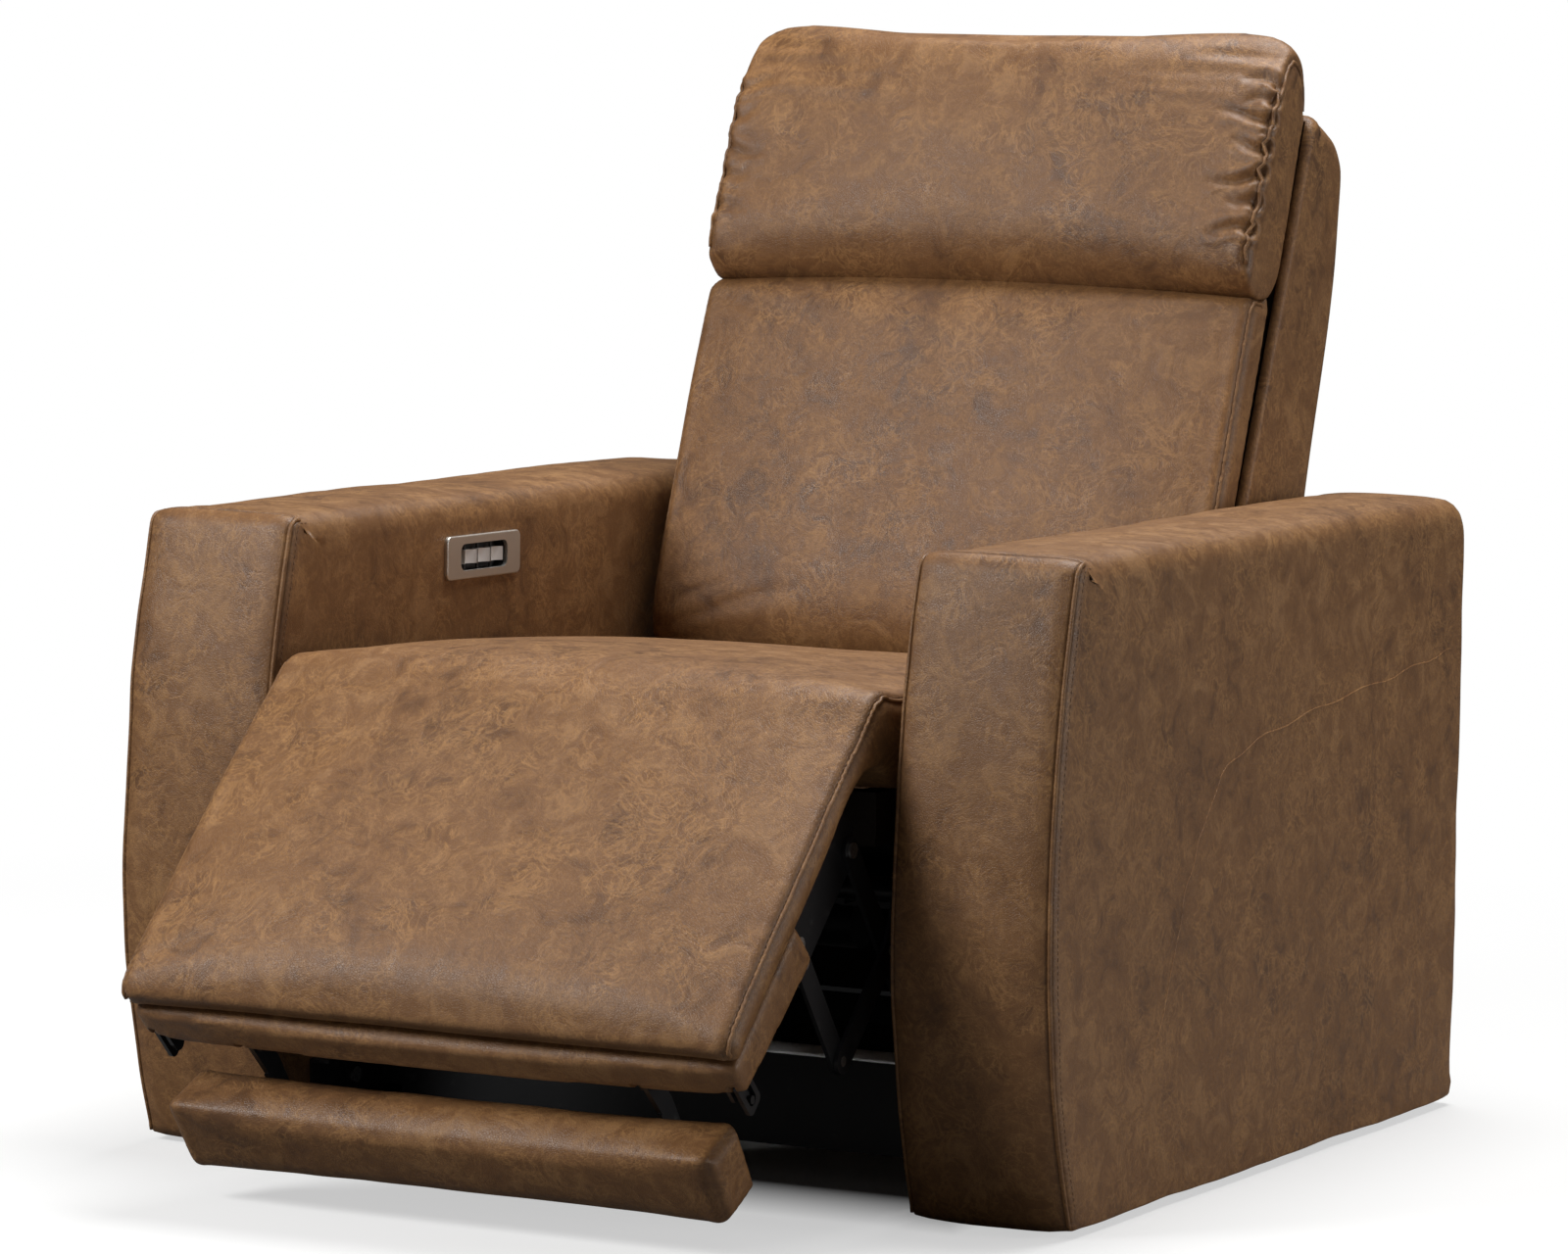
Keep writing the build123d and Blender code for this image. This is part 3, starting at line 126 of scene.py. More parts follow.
class Finish:
    """A node material, built up socket by socket."""

    def __init__(self, name):
        self.material = bpy.data.materials.new(name)
        self.material.use_nodes = True
        self.tree = self.material.node_tree
        self.tree.nodes.clear()
        self.out = self.node("OutputMaterial")
        self.shader = self.node("BsdfPrincipled")
        self.tree.links.new(self.shader.outputs[0], self.out.inputs["Surface"])
        self.place = self.node("TexCoord").outputs["Object"]

    def node(self, kind, values=None, **settings):
        """Add a node; values go to its input sockets and settings to the node itself."""
        made = self.tree.nodes.new("ShaderNode" + kind)
        for key, value in settings.items():
            setattr(made, key, value)
        for key, value in (values or {}).items():
            self.put(made.inputs[key], value)
        return made

    def put(self, socket, value):
        """Link a socket, or set its value."""
        if isinstance(value, bpy.types.NodeSocket):
            self.tree.links.new(value, socket)
        else:
            socket.default_value = value

    def surface(self, **values):
        """Set inputs of the shader; names use _ for a space."""
        for key, value in values.items():
            self.put(self.shader.inputs[key.replace("_", " ")], value)

    def stretched(self, scale):
        """Object coordinates scaled along each axis."""
        return self.node("Mapping", {"Vector": self.place, "Scale": scale}).outputs["Vector"]

    def noise(self, scale, detail=4.0, roughness=0.55, distortion=0.0, vector=None):
        """Factor of a noise texture."""
        return self.node("TexNoise", {"Vector": vector or self.place, "Scale": scale, "Detail": detail,
                                      "Roughness": roughness, "Distortion": distortion}).outputs["Fac"]

    def sum(self, a, b, weight):
        """a plus weight times b."""
        return self.node("Math", {0: b, 1: weight, 2: a}, operation="MULTIPLY_ADD").outputs[0]

    def times(self, a, b):
        """Product of two factors."""
        return self.node("Math", {0: a, 1: b}, operation="MULTIPLY").outputs[0]

    def spread(self, value, low, high, to_low=0.0, to_high=1.0):
        """A factor moved from one range to another and clamped."""
        return self.node("MapRange", {"Value": value, "From Min": low, "From Max": high,
                                      "To Min": to_low, "To Max": to_high}).outputs["Result"]

    def ramp(self, factor, stops):
        """Colours along a factor."""
        made = self.node("ValToRGB", {"Fac": factor})
        cells = made.color_ramp.elements
        while len(cells) < len(stops):
            cells.new(0.5)
        for cell, (at, tone) in zip(cells, stops):
            cell.position = at
            cell.color = (*tone, 1.0)
        return made.outputs["Color"]

    def blend(self, factor, a, b):
        """Colour a going over to colour b."""
        made = self.node("Mix", data_type="RGBA")
        for socket, value in zip((made.inputs[0], made.inputs[6], made.inputs[7]), (factor, a, b)):
            self.put(socket, value if isinstance(value, bpy.types.NodeSocket) else (*value, 1.0))
        return made.outputs[2]

    def bump(self, height, distance, strength=1.0, below=None):
        """A bump normal, over another where one is given."""
        values = {"Height": height, "Distance": distance, "Strength": strength}
        if below:
            values["Normal"] = below
        return self.node("Bump", values).outputs["Normal"]

    def line(self, scale, distortion, width, detail=3.0):
        """Thin wandering lines, 1 on the line."""
        field = self.noise(scale, detail, 0.5, distortion)
        away = self.node("Math", {0: field, 1: 0.5}, operation="SUBTRACT").outputs[0]
        near = self.node("Math", {0: away}, operation="ABSOLUTE").outputs[0]
        return self.spread(near, 0.0, width, 1.0, 0.0)


def leather_finish(name, tone=1.0):
    """Pull-up leather: clouded tones, golden marbling, fine pale lines and a pebbled grain."""
    look = bpy.context.scene.chair_colours
    hide, dark, pale, gold = ([tone * c for c in tint]
                              for tint in (look.hide, look.hide_dark, look.hide_pale, look.scuff))
    f = Finish(name)
    cloud = f.noise(6.0, 4.0, 0.55, 0.6)
    patch = f.noise(30.0, 5.0, 0.58, 0.9)
    mottle = f.sum(f.times(cloud, 0.40), patch, 0.60)
    skin = f.ramp(mottle, [(0.36, dark), (0.47, hide), (0.53, hide), (0.62, pale)])
    worn = f.spread(f.noise(13.0, 4.0, 0.6, 1.2), 0.40, 0.60)
    marble = f.times(f.line(30.0, 3.0, 0.070, 5.0), worn)
    veins = f.times(f.line(17.0, 3.6, 0.015, 4.0), f.spread(worn, 0.0, 1.0, 0.25, 1.0))
    hairs = f.times(f.line(75.0, 2.2, 0.050), f.spread(patch, 0.40, 0.58))
    skin = f.blend(f.times(marble, 0.55), skin, gold)
    skin = f.blend(f.times(veins, 0.75), skin, gold)
    skin = f.blend(f.times(hairs, 0.40), skin, gold)
    soak = f.times(f.line(11.0, 2.8, 0.025), f.spread(cloud, 0.38, 0.54, 0.34, 0.0))
    skin = f.blend(soak, skin, [0.55 * c for c in dark])
    # Painted shade: the leather goes darker beside seams and creases, by a vertex attribute set along them.
    painted_crease_shade = f.node("Attribute", attribute_name="painted_crease_shade").outputs["Fac"]
    skin = f.blend(f.times(painted_crease_shade, 0.62), skin, [0.42 * c for c in dark])
    pebble = f.node("TexVoronoi", {"Vector": f.place, "Scale": 430.0, "Randomness": 1.0},
                    feature="DISTANCE_TO_EDGE").outputs["Distance"]
    pebble = f.spread(pebble, 0.0, 0.16)
    pores = f.noise(900.0, 2.0)
    wrinkle = f.line(38.0, 1.6, 0.060, 4.0)
    f.surface(Base_Color=skin, Specular_IOR_Level=0.34,
              Roughness=f.sum(f.spread(patch, 0.3, 0.7, 0.34, 0.50), pores, 0.08))
    grain = f.bump(f.sum(pebble, pores, 0.5), 0.00022, 0.55)
    slack = f.bump(f.sum(patch, cloud, 1.0), 0.004, 0.28, grain)
    f.surface(Normal=f.bump(f.sum(wrinkle, veins, 0.7), 0.0006, -0.35, slack))
    return f.material


def thread_finish():
    """Twisted sewing thread."""
    f = Finish("waxed_thread")
    tone = bpy.context.scene.chair_colours.thread
    fleck = f.noise(300.0, 3.0)
    f.surface(Base_Color=f.ramp(fleck, [(0.3, tone), (0.7, [1.7 * c for c in tone])]),
              Roughness=f.spread(fleck, 0.3, 0.7, 0.5, 0.7), Normal=f.bump(fleck, 0.0003, 0.6))
    return f.material


def painted_steel_finish():
    """Black powder paint with a fine orange peel and rubbed spots."""
    f = Finish("painted_steel")
    tone = bpy.context.scene.chair_colours.steel
    wear = f.spread(f.noise(60.0, 6.0, 0.7), 0.60, 0.72, 0.0, 0.35)
    peel = f.noise(700.0, 2.0)
    f.surface(Base_Color=f.blend(wear, tone, [0.075, 0.073, 0.070]), Specular_IOR_Level=0.5,
              Roughness=f.sum(f.spread(wear, 0.0, 0.35, 0.30, 0.42), peel, 0.10),
              Normal=f.bump(peel, 0.00008, 0.5))
    return f.material


def bright_steel_finish():
    """Zinc-plated steel with a drawn streak."""
    f = Finish("plated_steel")
    streak = f.noise(60.0, 5.0, 0.6, 0.0, f.stretched((1.0, 12.0, 12.0)))
    zinc = f.ramp(f.noise(140.0, 3.0), [(0.3, (0.42, 0.42, 0.42)), (0.7, (0.62, 0.61, 0.59))])
    f.surface(Base_Color=zinc, Metallic=1.0,
              Roughness=f.spread(streak, 0.3, 0.7, 0.24, 0.42), Normal=f.bump(streak, 0.0001, 0.4))
    return f.material


def nickel_finish(name, tone, rough):
    """Satin metal, brushed along the plate."""
    f = Finish(name)
    brush = f.noise(90.0, 5.0, 0.65, 0.0, f.stretched((14.0, 0.6, 14.0)))
    smudge = f.noise(40.0, 4.0, 0.6)
    f.surface(Base_Color=f.ramp(smudge, [(0.3, [0.86 * c for c in tone]), (0.7, tone)]), Metallic=1.0,
              Roughness=f.sum(f.spread(brush, 0.3, 0.7, rough - 0.07, rough + 0.07), smudge, 0.05),
              Normal=f.bump(brush, 0.00006, 0.5))
    return f.material


def plastic_finish():
    """Black moulded plastic with a spark-eroded texture."""
    f = Finish("moulded_plastic")
    grit = f.noise(1100.0, 2.0)
    haze = f.noise(30.0, 4.0)
    f.surface(Base_Color=f.ramp(haze, [(0.3, (0.010, 0.010, 0.011)), (0.7, (0.020, 0.020, 0.021))]),
              Roughness=f.spread(haze, 0.3, 0.7, 0.42, 0.58), Normal=f.bump(grit, 0.0001, 0.5))
    return f.material


def timber_finish(name, tone=1.0):
    """Sawn hardwood ply with growth rings and saw marks."""
    f = Finish(name)
    long = f.stretched((9.0, 0.9, 9.0))
    ring = f.noise(5.0, 6.0, 0.6, 1.2, long)
    fibre = f.noise(70.0, 3.0, 0.6, 0.0, long)
    early, mid, late, line = ([tone * c for c in tint] for tint in (
        (0.33, 0.20, 0.10), (0.50, 0.33, 0.18), (0.58, 0.41, 0.24), (0.28, 0.16, 0.08)))
    wood = f.ramp(ring, [(0.30, early), (0.50, mid), (0.70, late)])
    f.surface(Base_Color=f.blend(f.spread(fibre, 0.4, 0.7, 0.0, 0.4), wood, line),
              Roughness=f.spread(fibre, 0.3, 0.7, 0.55, 0.75), Normal=f.bump(fibre, 0.0004, 0.5))
    return f.material


def webbing_finish(name, tone=1.0):
    """Woven elastic webbing."""
    f = Finish(name)
    warp = f.node("TexWave", {"Vector": f.place, "Scale": 160.0}, bands_direction="X").outputs["Fac"]
    weft = f.node("TexWave", {"Vector": f.place, "Scale": 160.0}, bands_direction="Z").outputs["Fac"]
    weave = f.times(warp, weft)
    fuzz = f.noise(500.0, 3.0)
    cloth = f.ramp(f.sum(weave, fuzz, 0.2), [(0.1, [0.02 * tone] * 3), (0.8, [0.10 * tone] * 3)])
    f.surface(Base_Color=cloth,
              Roughness=f.spread(fuzz, 0.3, 0.7, 0.75, 0.9), Normal=f.bump(weave, 0.0006, 0.8))
    return f.material


def finish(name):
    """The material of that name, made once."""
    makers = {
        "leather": lambda: leather_finish("leather"),
        "welt_leather": lambda: leather_finish("welt_leather", 0.95),
        "pale_leather": lambda: leather_finish("pale_leather", 1.45),
        "waxed_thread": thread_finish,
        "painted_steel": painted_steel_finish,
        "plated_steel": bright_steel_finish,
        "satin_nickel": lambda: nickel_finish("satin_nickel", bpy.context.scene.chair_colours.nickel, 0.30),
        "silver_rocker": lambda: nickel_finish("silver_rocker", (0.74, 0.73, 0.71), 0.13),
        "moulded_plastic": plastic_finish,
        "sawn_timber": lambda: timber_finish("sawn_timber"),
        # Near-black timber: painted shade for the frames and the legrest deck inside the chair, where they
        # lie in shade.
        "painted_shade_timber": lambda: timber_finish("painted_shade_timber", 0.05),
        "woven_webbing": lambda: webbing_finish("woven_webbing"),
        # Near-black lining: a black dust cloth, made darker still as painted shade for the inside of the
        # chair.
        "dust_cloth_with_painted_shade": lambda: webbing_finish("dust_cloth_with_painted_shade", 0.2),
    }
    return bpy.data.materials.get(name) or makers[name]()


# Meshes

def placed(name, data):
    """A new object in the scene, at the origin."""
    made = bpy.data.objects.new(name, data)
    bpy.context.scene.collection.objects.link(made)
    return made


def box_of(node):
    """Low and high corner of a CAD node."""
    low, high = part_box(node)
    return np.array(low), np.array(high)


def piece_of(name, points, faces, material):
    """A new smooth-shaded piece."""
    mesh = bpy.data.meshes.new(name)
    mesh.from_pydata([tuple(p) for p in points], [], faces)
    mesh.materials.append(finish(material))
    piece = placed(name, mesh)
    outward(piece)
    mesh.shade_smooth()
    return piece


def outward(piece):
    """Merge doubles and turn all faces outwards."""
    work = bmesh.new()
    work.from_mesh(piece.data)
    bmesh.ops.remove_doubles(work, verts=work.verts, dist=1e-6)
    bmesh.ops.recalc_face_normals(work, faces=work.faces)
    work.to_mesh(piece.data)
    work.free()


def bake(piece):
    """Apply every modifier of a piece to its mesh."""
    bpy.context.view_layer.update()
    graph = bpy.context.evaluated_depsgraph_get()
    mesh = bpy.data.meshes.new_from_object(piece.evaluated_get(graph), depsgraph=graph)
    piece.modifiers.clear()
    old, piece.data = piece.data, mesh
    if old.users == 0:
        bpy.data.meshes.remove(old)
    mesh.name = piece.name
    mesh.shade_smooth()


def points_of(mesh):
    """Vertex places as an array."""
    flat = np.empty(len(mesh.vertices) * 3)
    mesh.vertices.foreach_get("co", flat)
    return flat.reshape(-1, 3)


def normals_of(mesh):
    """Vertex normals as an array."""
    flat = np.empty(len(mesh.vertices) * 3, np.float32)
    mesh.vertex_normals.foreach_get("vector", flat)
    return flat.reshape(-1, 3).astype(float)


def move_points(piece, places):
    """Put a piece's vertices at new places."""
    piece.data.vertices.foreach_set("co", places.reshape(-1))
    piece.data.update()


def eased(piece, rounds, share=0.5):
    """Smooth a mesh by moving each point towards its neighbours."""
    mesh = piece.data
    ends = np.empty(len(mesh.edges) * 2, int)
    mesh.edges.foreach_get("vertices", ends)
    a, b = ends.reshape(-1, 2).T
    places = points_of(mesh)
    count = np.bincount(np.r_[a, b], minlength=len(places))[:, None]
    for _ in range(rounds):
        total = np.zeros_like(places)
        np.add.at(total, a, places[b])
        np.add.at(total, b, places[a])
        places += share * (total / count - places)
    move_points(piece, places)


def through(controls, steps, closed=True):
    """A smooth line through control points, steps per span."""
    p = np.asarray(controls, float)
    n = len(p)
    spans = n if closed else n - 1
    t = np.linspace(0.0, 1.0, steps, endpoint=False)[:, None]
    runs = []
    for k in range(spans):
        ids = [(k + d) % n if closed else min(max(k + d, 0), n - 1) for d in (-1, 0, 1, 2)]
        a, b, c, d = (p[i] for i in ids)
        runs.append(0.5 * (2 * b + (c - a) * t + (2 * a - 5 * b + 4 * c - d) * t ** 2
                           + (3 * b - a - 3 * c + d) * t ** 3))
    return np.vstack(runs if closed else runs + [p[-1:]])


def evened(line, step):
    """A line with points at even distances."""
    line = np.asarray(line, float)
    run = np.r_[0.0, np.cumsum(np.linalg.norm(np.diff(line, axis=0), axis=1))]
    at = np.linspace(0.0, run[-1], max(2, int(round(run[-1] / step)) + 1))
    return np.column_stack([np.interp(at, run, line[:, k]) for k in range(line.shape[1])])


def in_frame(matrix, places):
    """Places of a frame in the chair's frame."""
    m = np.array(matrix)
    return np.asarray(places, float) @ m[:3, :3].T + m[:3, 3]


def side_view(x, outline):
    """A (y, z) outline at one X."""
    outline = np.asarray(outline, float)
    return np.column_stack([np.full(len(outline), x), outline])


def both_sides(matrix, half, outline):
    """A (y, z) outline of a frame, at each side of the chair."""
    return [in_frame(matrix, side_view(x, outline)) for x in (-half, half)]


def closed_strips(count, ring):
    """Quads between rings of equal point count, with a cap on the first and the last ring."""
    faces = []
    for r in range(count - 1):
        for k in range(ring):
            n = (k + 1) % ring
            faces.append((r * ring + k, r * ring + n, (r + 1) * ring + n, (r + 1) * ring + k))
    return faces + [tuple(range(ring)), tuple(range((count - 1) * ring, count * ring))]


def softened(values, rounds):
    """Values round a closed outline, each evened out with its neighbours."""
    for _ in range(rounds):
        values = 0.25 * np.roll(values, 1, axis=0) + 0.5 * values + 0.25 * np.roll(values, -1, axis=0)
    return values


def joined(parts):
    """Runs of an outline put together, with the rounding and the swell of each point."""
    points = np.vstack([run for run, _, _ in parts])
    radii = np.concatenate([np.full(len(run), radius) for run, radius, _ in parts])
    swell = np.concatenate([np.full(len(run), bulge) for run, _, bulge in parts])
    return points, radii, swell


def fullness(share):
    """How full a pad is at a share of its half width."""
    return max(0.0, 1.0 - abs(share) ** 3.0) ** 0.5


def padded_form(name, matrix, half, section, stations=25):
    """A closed form: the side view at each X station is drawn in towards the ends."""
    places = [half * sin(pi * (k / (stations - 1) - 0.5)) for k in range(stations)]
    rings = [side_view(x, through(section(fullness(x / half)), 8)) for x in places]
    faces = closed_strips(stations, len(rings[0]))
    return piece_of(name, in_frame(matrix, np.vstack(rings)), faces, "leather")


def nearest_gap(places, lines):
    """Distance from each place to the nearest sample of the lines, and that sample's weight."""
    samples = np.vstack([line for line, _ in lines])
    weights = np.concatenate([weight for _, weight in lines])
    tree = KDTree(len(samples))
    for k, place in enumerate(samples):
        tree.insert(place, k)
    tree.balance()
    found = [tree.find(place)[1:] for place in places]
    return np.array([gap for _, gap in found]), weights[[k for k, _ in found]]


def sampled(lines, step=0.0015):
    """Lines with even samples and full weight."""
    dense = [evened(line, step) for line in lines]
    return [(line, np.ones(len(line))) for line in dense]


def fill_with_air(piece, skin, cap, held, reach=0.007):
    """Remesh a form, let air pressure fill it between its held seams, and keep the result."""
    even = piece.modifiers.new("Even skin", "REMESH")
    even.mode, even.voxel_size = "VOXEL", skin
    bake(piece)
    rest = points_of(piece.data)
    sizes = bpy.context.scene.chair_sizes
    gap, _ = nearest_gap(rest, sampled(held, 0.004))
    weights = np.clip((2.0 * reach - gap) / reach, 0.0, 1.0)
    group = piece.vertex_groups.new(name="held")
    for level in np.unique(np.round(weights, 1)):
        if level > 0:
            group.add(np.flatnonzero(np.round(weights, 1) == level).tolist(), float(level), "REPLACE")
    cloth = piece.modifiers.new("Air", "CLOTH")
    rules = cloth.settings
    rules.quality = 5
    rules.mass = 0.25
    rules.tension_stiffness = rules.compression_stiffness = 14.0
    rules.shear_stiffness = 6.0
    rules.bending_stiffness = 0.8
    rules.use_pressure = True
    rules.uniform_pressure_force = sizes.pressure
    rules.effector_weights.gravity = 0.0
    rules.vertex_group_mass = "held"
    cloth.collision_settings.use_collision = False
    cloth.point_cache.frame_start, cloth.point_cache.frame_end = 1, sizes.frames
    for step in range(1, sizes.frames + 1):
        bpy.context.scene.frame_set(step)
    graph = bpy.context.evaluated_depsgraph_get()
    filled = points_of(piece.evaluated_get(graph).data)
    piece.modifiers.clear()
    piece.vertex_groups.clear()
    bpy.context.scene.frame_set(1)
    shift = filled - rest
    far = np.linalg.norm(shift, axis=1, keepdims=True)
    move_points(piece, rest + shift * np.minimum(1.0, cap / np.maximum(far, 1e-9)))
    eased(piece, 3)


def finer(piece):
    """One level of subdivision, kept in the mesh."""
    smooth = piece.modifiers.new("Finer", "SUBSURF")
    smooth.levels = smooth.render_levels = 1
    bake(piece)


def on_surface(piece, lines, lift=0.0, step=0.004):
    """Lines laid on a piece's surface."""
    tree = BVHTree.FromObject(piece, bpy.context.evaluated_depsgraph_get())
    laid = []
    for line in lines:
        places = []
        for place in evened(line, step):
            spot, normal, _, _ = tree.find_nearest(Vector(place))
            places.append(spot + normal * lift)
        laid.append(np.array(places))
    return laid


def crease(piece, lines, depth, width, lip=0.25):
    """Press lines into a piece; each line is places with a weight for each."""
    mesh = piece.data
    places, outs = points_of(mesh), normals_of(mesh)
    gap, weight = nearest_gap(places, lines)
    push = -np.exp(-(gap / width) ** 2) + lip * np.exp(-((gap - 2.2 * width) / width) ** 2)
    move_points(piece, places + outs * (depth * weight * push)[:, None])


def paint_crease_shade(piece, lines, width):
    """Paint shade into the leather beside seams and creases, as an attribute that the finish reads."""
    gap, weight = nearest_gap(points_of(piece.data), lines)
    mesh = piece.data
    mark = mesh.attributes.get("painted_crease_shade") or mesh.attributes.new("painted_crease_shade", "FLOAT", "POINT")
    before = np.empty(len(mesh.vertices), np.float32)
    mark.data.foreach_get("value", before)
    dark = np.maximum(before, weight * np.exp(-(gap / width) ** 2))
    mark.data.foreach_set("value", dark.astype(np.float32))


def ruffle(piece, amount, scale, seed, keep=None):
    """Slight unevenness of a stretched cover."""
    mesh = piece.data
    places, outs = points_of(mesh), normals_of(mesh)
    shift = Vector((seed, 2.0 * seed, 3.0 * seed))
    wave = np.array([noise.noise(Vector(p) * scale + shift) for p in places])
    if keep is not None:
        wave = wave * keep(places)
    move_points(piece, places + outs * (amount * wave)[:, None])


def prism(name, matrix, outline, low, high, material):
    """A plain prism across X; its outline is (y, z) places of the frame."""
    count = len(outline)
    places = in_frame(matrix, np.vstack([side_view(low, outline), side_view(high, outline)]))
    return piece_of(name, places, closed_strips(2, count), material)


def cut(piece, matrix, outline, low, high):
    """Cut a prism across X out of a piece; its outline is (y, z) places of the frame."""
    tool = prism("cutter", matrix, outline, low, high, "leather")
    less = piece.modifiers.new("Cut", "BOOLEAN")
    less.object, less.operation, less.solver = tool, "DIFFERENCE", "EXACT"
    bake(piece)
    mesh = tool.data
    bpy.data.objects.remove(tool)
    bpy.data.meshes.remove(mesh)


def oblong(low, high):
    """Corners of a (y, z) oblong."""
    return np.array([(low[0], low[1]), (high[0], low[1]), (high[0], high[1]), (low[0], high[1])])


def tubes(name, lines, radius, material):
    """Round piping along lines, as one mesh."""
    curve = bpy.data.curves.new(name + ".path", "CURVE")
    curve.dimensions = "3D"
    curve.bevel_depth, curve.bevel_resolution = radius, 2
    curve.use_fill_caps = True
    for line in lines:
        run = curve.splines.new("POLY")
        run.points.add(len(line) - 1)
        for point, place in zip(run.points, line):
            point.co = (*place, 1.0)
    path = placed(name + ".path", curve)
    bpy.context.view_layer.update()
    mesh = bpy.data.meshes.new_from_object(path.evaluated_get(bpy.context.evaluated_depsgraph_get()))
    bpy.data.objects.remove(path)
    bpy.data.curves.remove(curve)
    mesh.name = name
    mesh.materials.clear()
    mesh.materials.append(finish(material))
    piece = placed(name, mesh)
    outward(piece)
    mesh.shade_smooth()
    return piece


def stitch_tree():
    """Node tree that sets stitches along the edges of a mesh."""
    found = bpy.data.node_groups.get("stitch_run")
    if found:
        return found
    tree = bpy.data.node_groups.new("stitch_run", "GeometryNodeTree")
    face = tree.interface
    face.new_socket("Geometry", in_out="INPUT", socket_type="NodeSocketGeometry")
    for label in ("Pitch", "Length", "Thickness"):
        face.new_socket(label, in_out="INPUT", socket_type="NodeSocketFloat")
    face.new_socket("Material", in_out="INPUT", socket_type="NodeSocketMaterial")
    face.new_socket("Geometry", in_out="OUTPUT", socket_type="NodeSocketGeometry")

    def node(kind, **settings):
        made = tree.nodes.new(kind)
        for key, value in settings.items():
            setattr(made, key, value)
        return made

    given, result = node("NodeGroupInput"), node("NodeGroupOutput")
    line = node("GeometryNodeMeshToCurve")
    dots = node("GeometryNodeResampleCurve", mode="LENGTH")
    bead = node("GeometryNodeMeshUVSphere")
    bead.inputs["Segments"].default_value, bead.inputs["Rings"].default_value = 6, 4
    bead.inputs["Radius"].default_value = 0.5
    shape = node("ShaderNodeCombineXYZ")
    sized = node("GeometryNodeTransform")
    along = node("GeometryNodeInputTangent")
    turn = node("FunctionNodeAlignRotationToVector", axis="Z")
    sewn_on = node("GeometryNodeInstanceOnPoints")
    real = node("GeometryNodeRealizeInstances")
    paint = node("GeometryNodeSetMaterial")
    for start, out, end, into in (
            (given, "Geometry", line, "Mesh"), (line, "Curve", dots, "Curve"),
            (given, "Pitch", dots, "Length"), (given, "Thickness", shape, "X"),
            (given, "Thickness", shape, "Y"), (given, "Length", shape, "Z"),
            (bead, "Mesh", sized, "Geometry"), (shape, "Vector", sized, "Scale"),
            (along, "Tangent", turn, "Vector"), (dots, "Curve", sewn_on, "Points"),
            (sized, "Geometry", sewn_on, "Instance"), (turn, "Rotation", sewn_on, "Rotation"),
            (sewn_on, "Instances", real, "Geometry"), (real, "Geometry", paint, "Geometry"),
            (given, "Material", paint, "Material"), (paint, "Geometry", result, "Geometry")):
        tree.links.new(start.outputs[out], end.inputs[into])
    return tree


def stitches(name, lines):
    """Stitches along lines, as one plain mesh."""
    sizes = bpy.context.scene.chair_sizes
    places, edges = [], []
    for line in lines:
        edges += [(len(places) + k, len(places) + k + 1) for k in range(len(line) - 1)]
        places += [tuple(p) for p in line]
    mesh = bpy.data.meshes.new(name)
    mesh.from_pydata(places, edges, [])
    piece = placed(name, mesh)
    run = piece.modifiers.new("Stitches", "NODES")
    run.node_group = stitch_tree()
    values = {"Pitch": sizes.stitch_pitch, "Length": sizes.stitch, "Thickness": sizes.thread,
              "Material": finish("waxed_thread")}
    for item in run.node_group.interface.items_tree:
        if item.in_out == "INPUT" and item.name in values:
            run[item.identifier] = values[item.name]
    bake(piece)
    return piece


def carried(piece, body, nodes=()):
    """Attach a piece to the body that carries it and hide the CAD parts it stands for; the chaise bend
    instead has its transform baked in.
    """
    if body == "bend":
        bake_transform(piece)
    else:
        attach(piece, body)
    if nodes:
        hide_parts(*nodes)
    return piece


def thread_on(piece, lines):
    """Lines for stitches, just off a piece's surface."""
    return on_surface(piece, lines, lift=0.0002, step=0.003)


def sewn(piece, name, lines, body, piped=False, thread=0.007):
    """Seam along lines on a pad: pressed in with painted shade beside it, and where piped also topstitched
    beside the welt.
    """
    sizes = bpy.context.scene.chair_sizes
    soft = sampled(on_surface(piece, lines))
    crease(piece, soft, depth=0.0028, width=0.0055)
    # Painted shade beside the seam.
    paint_crease_shade(piece, soft, width=0.0055)
    if not piped:
        return
    laid = on_surface(piece, lines, lift=0.2 * sizes.welt)
    carried(tubes(name + "_welt", laid, sizes.welt, "welt_leather"), body)
    inward_x = [np.column_stack([-np.sign(line[:, 0]), 0 * line[:, 1:]]) for line in laid]
    beside = [line + way * thread for line, way in zip(laid, inward_x)]
    carried(stitches(name + "_stitches", thread_on(piece, beside)), body)


# Arms

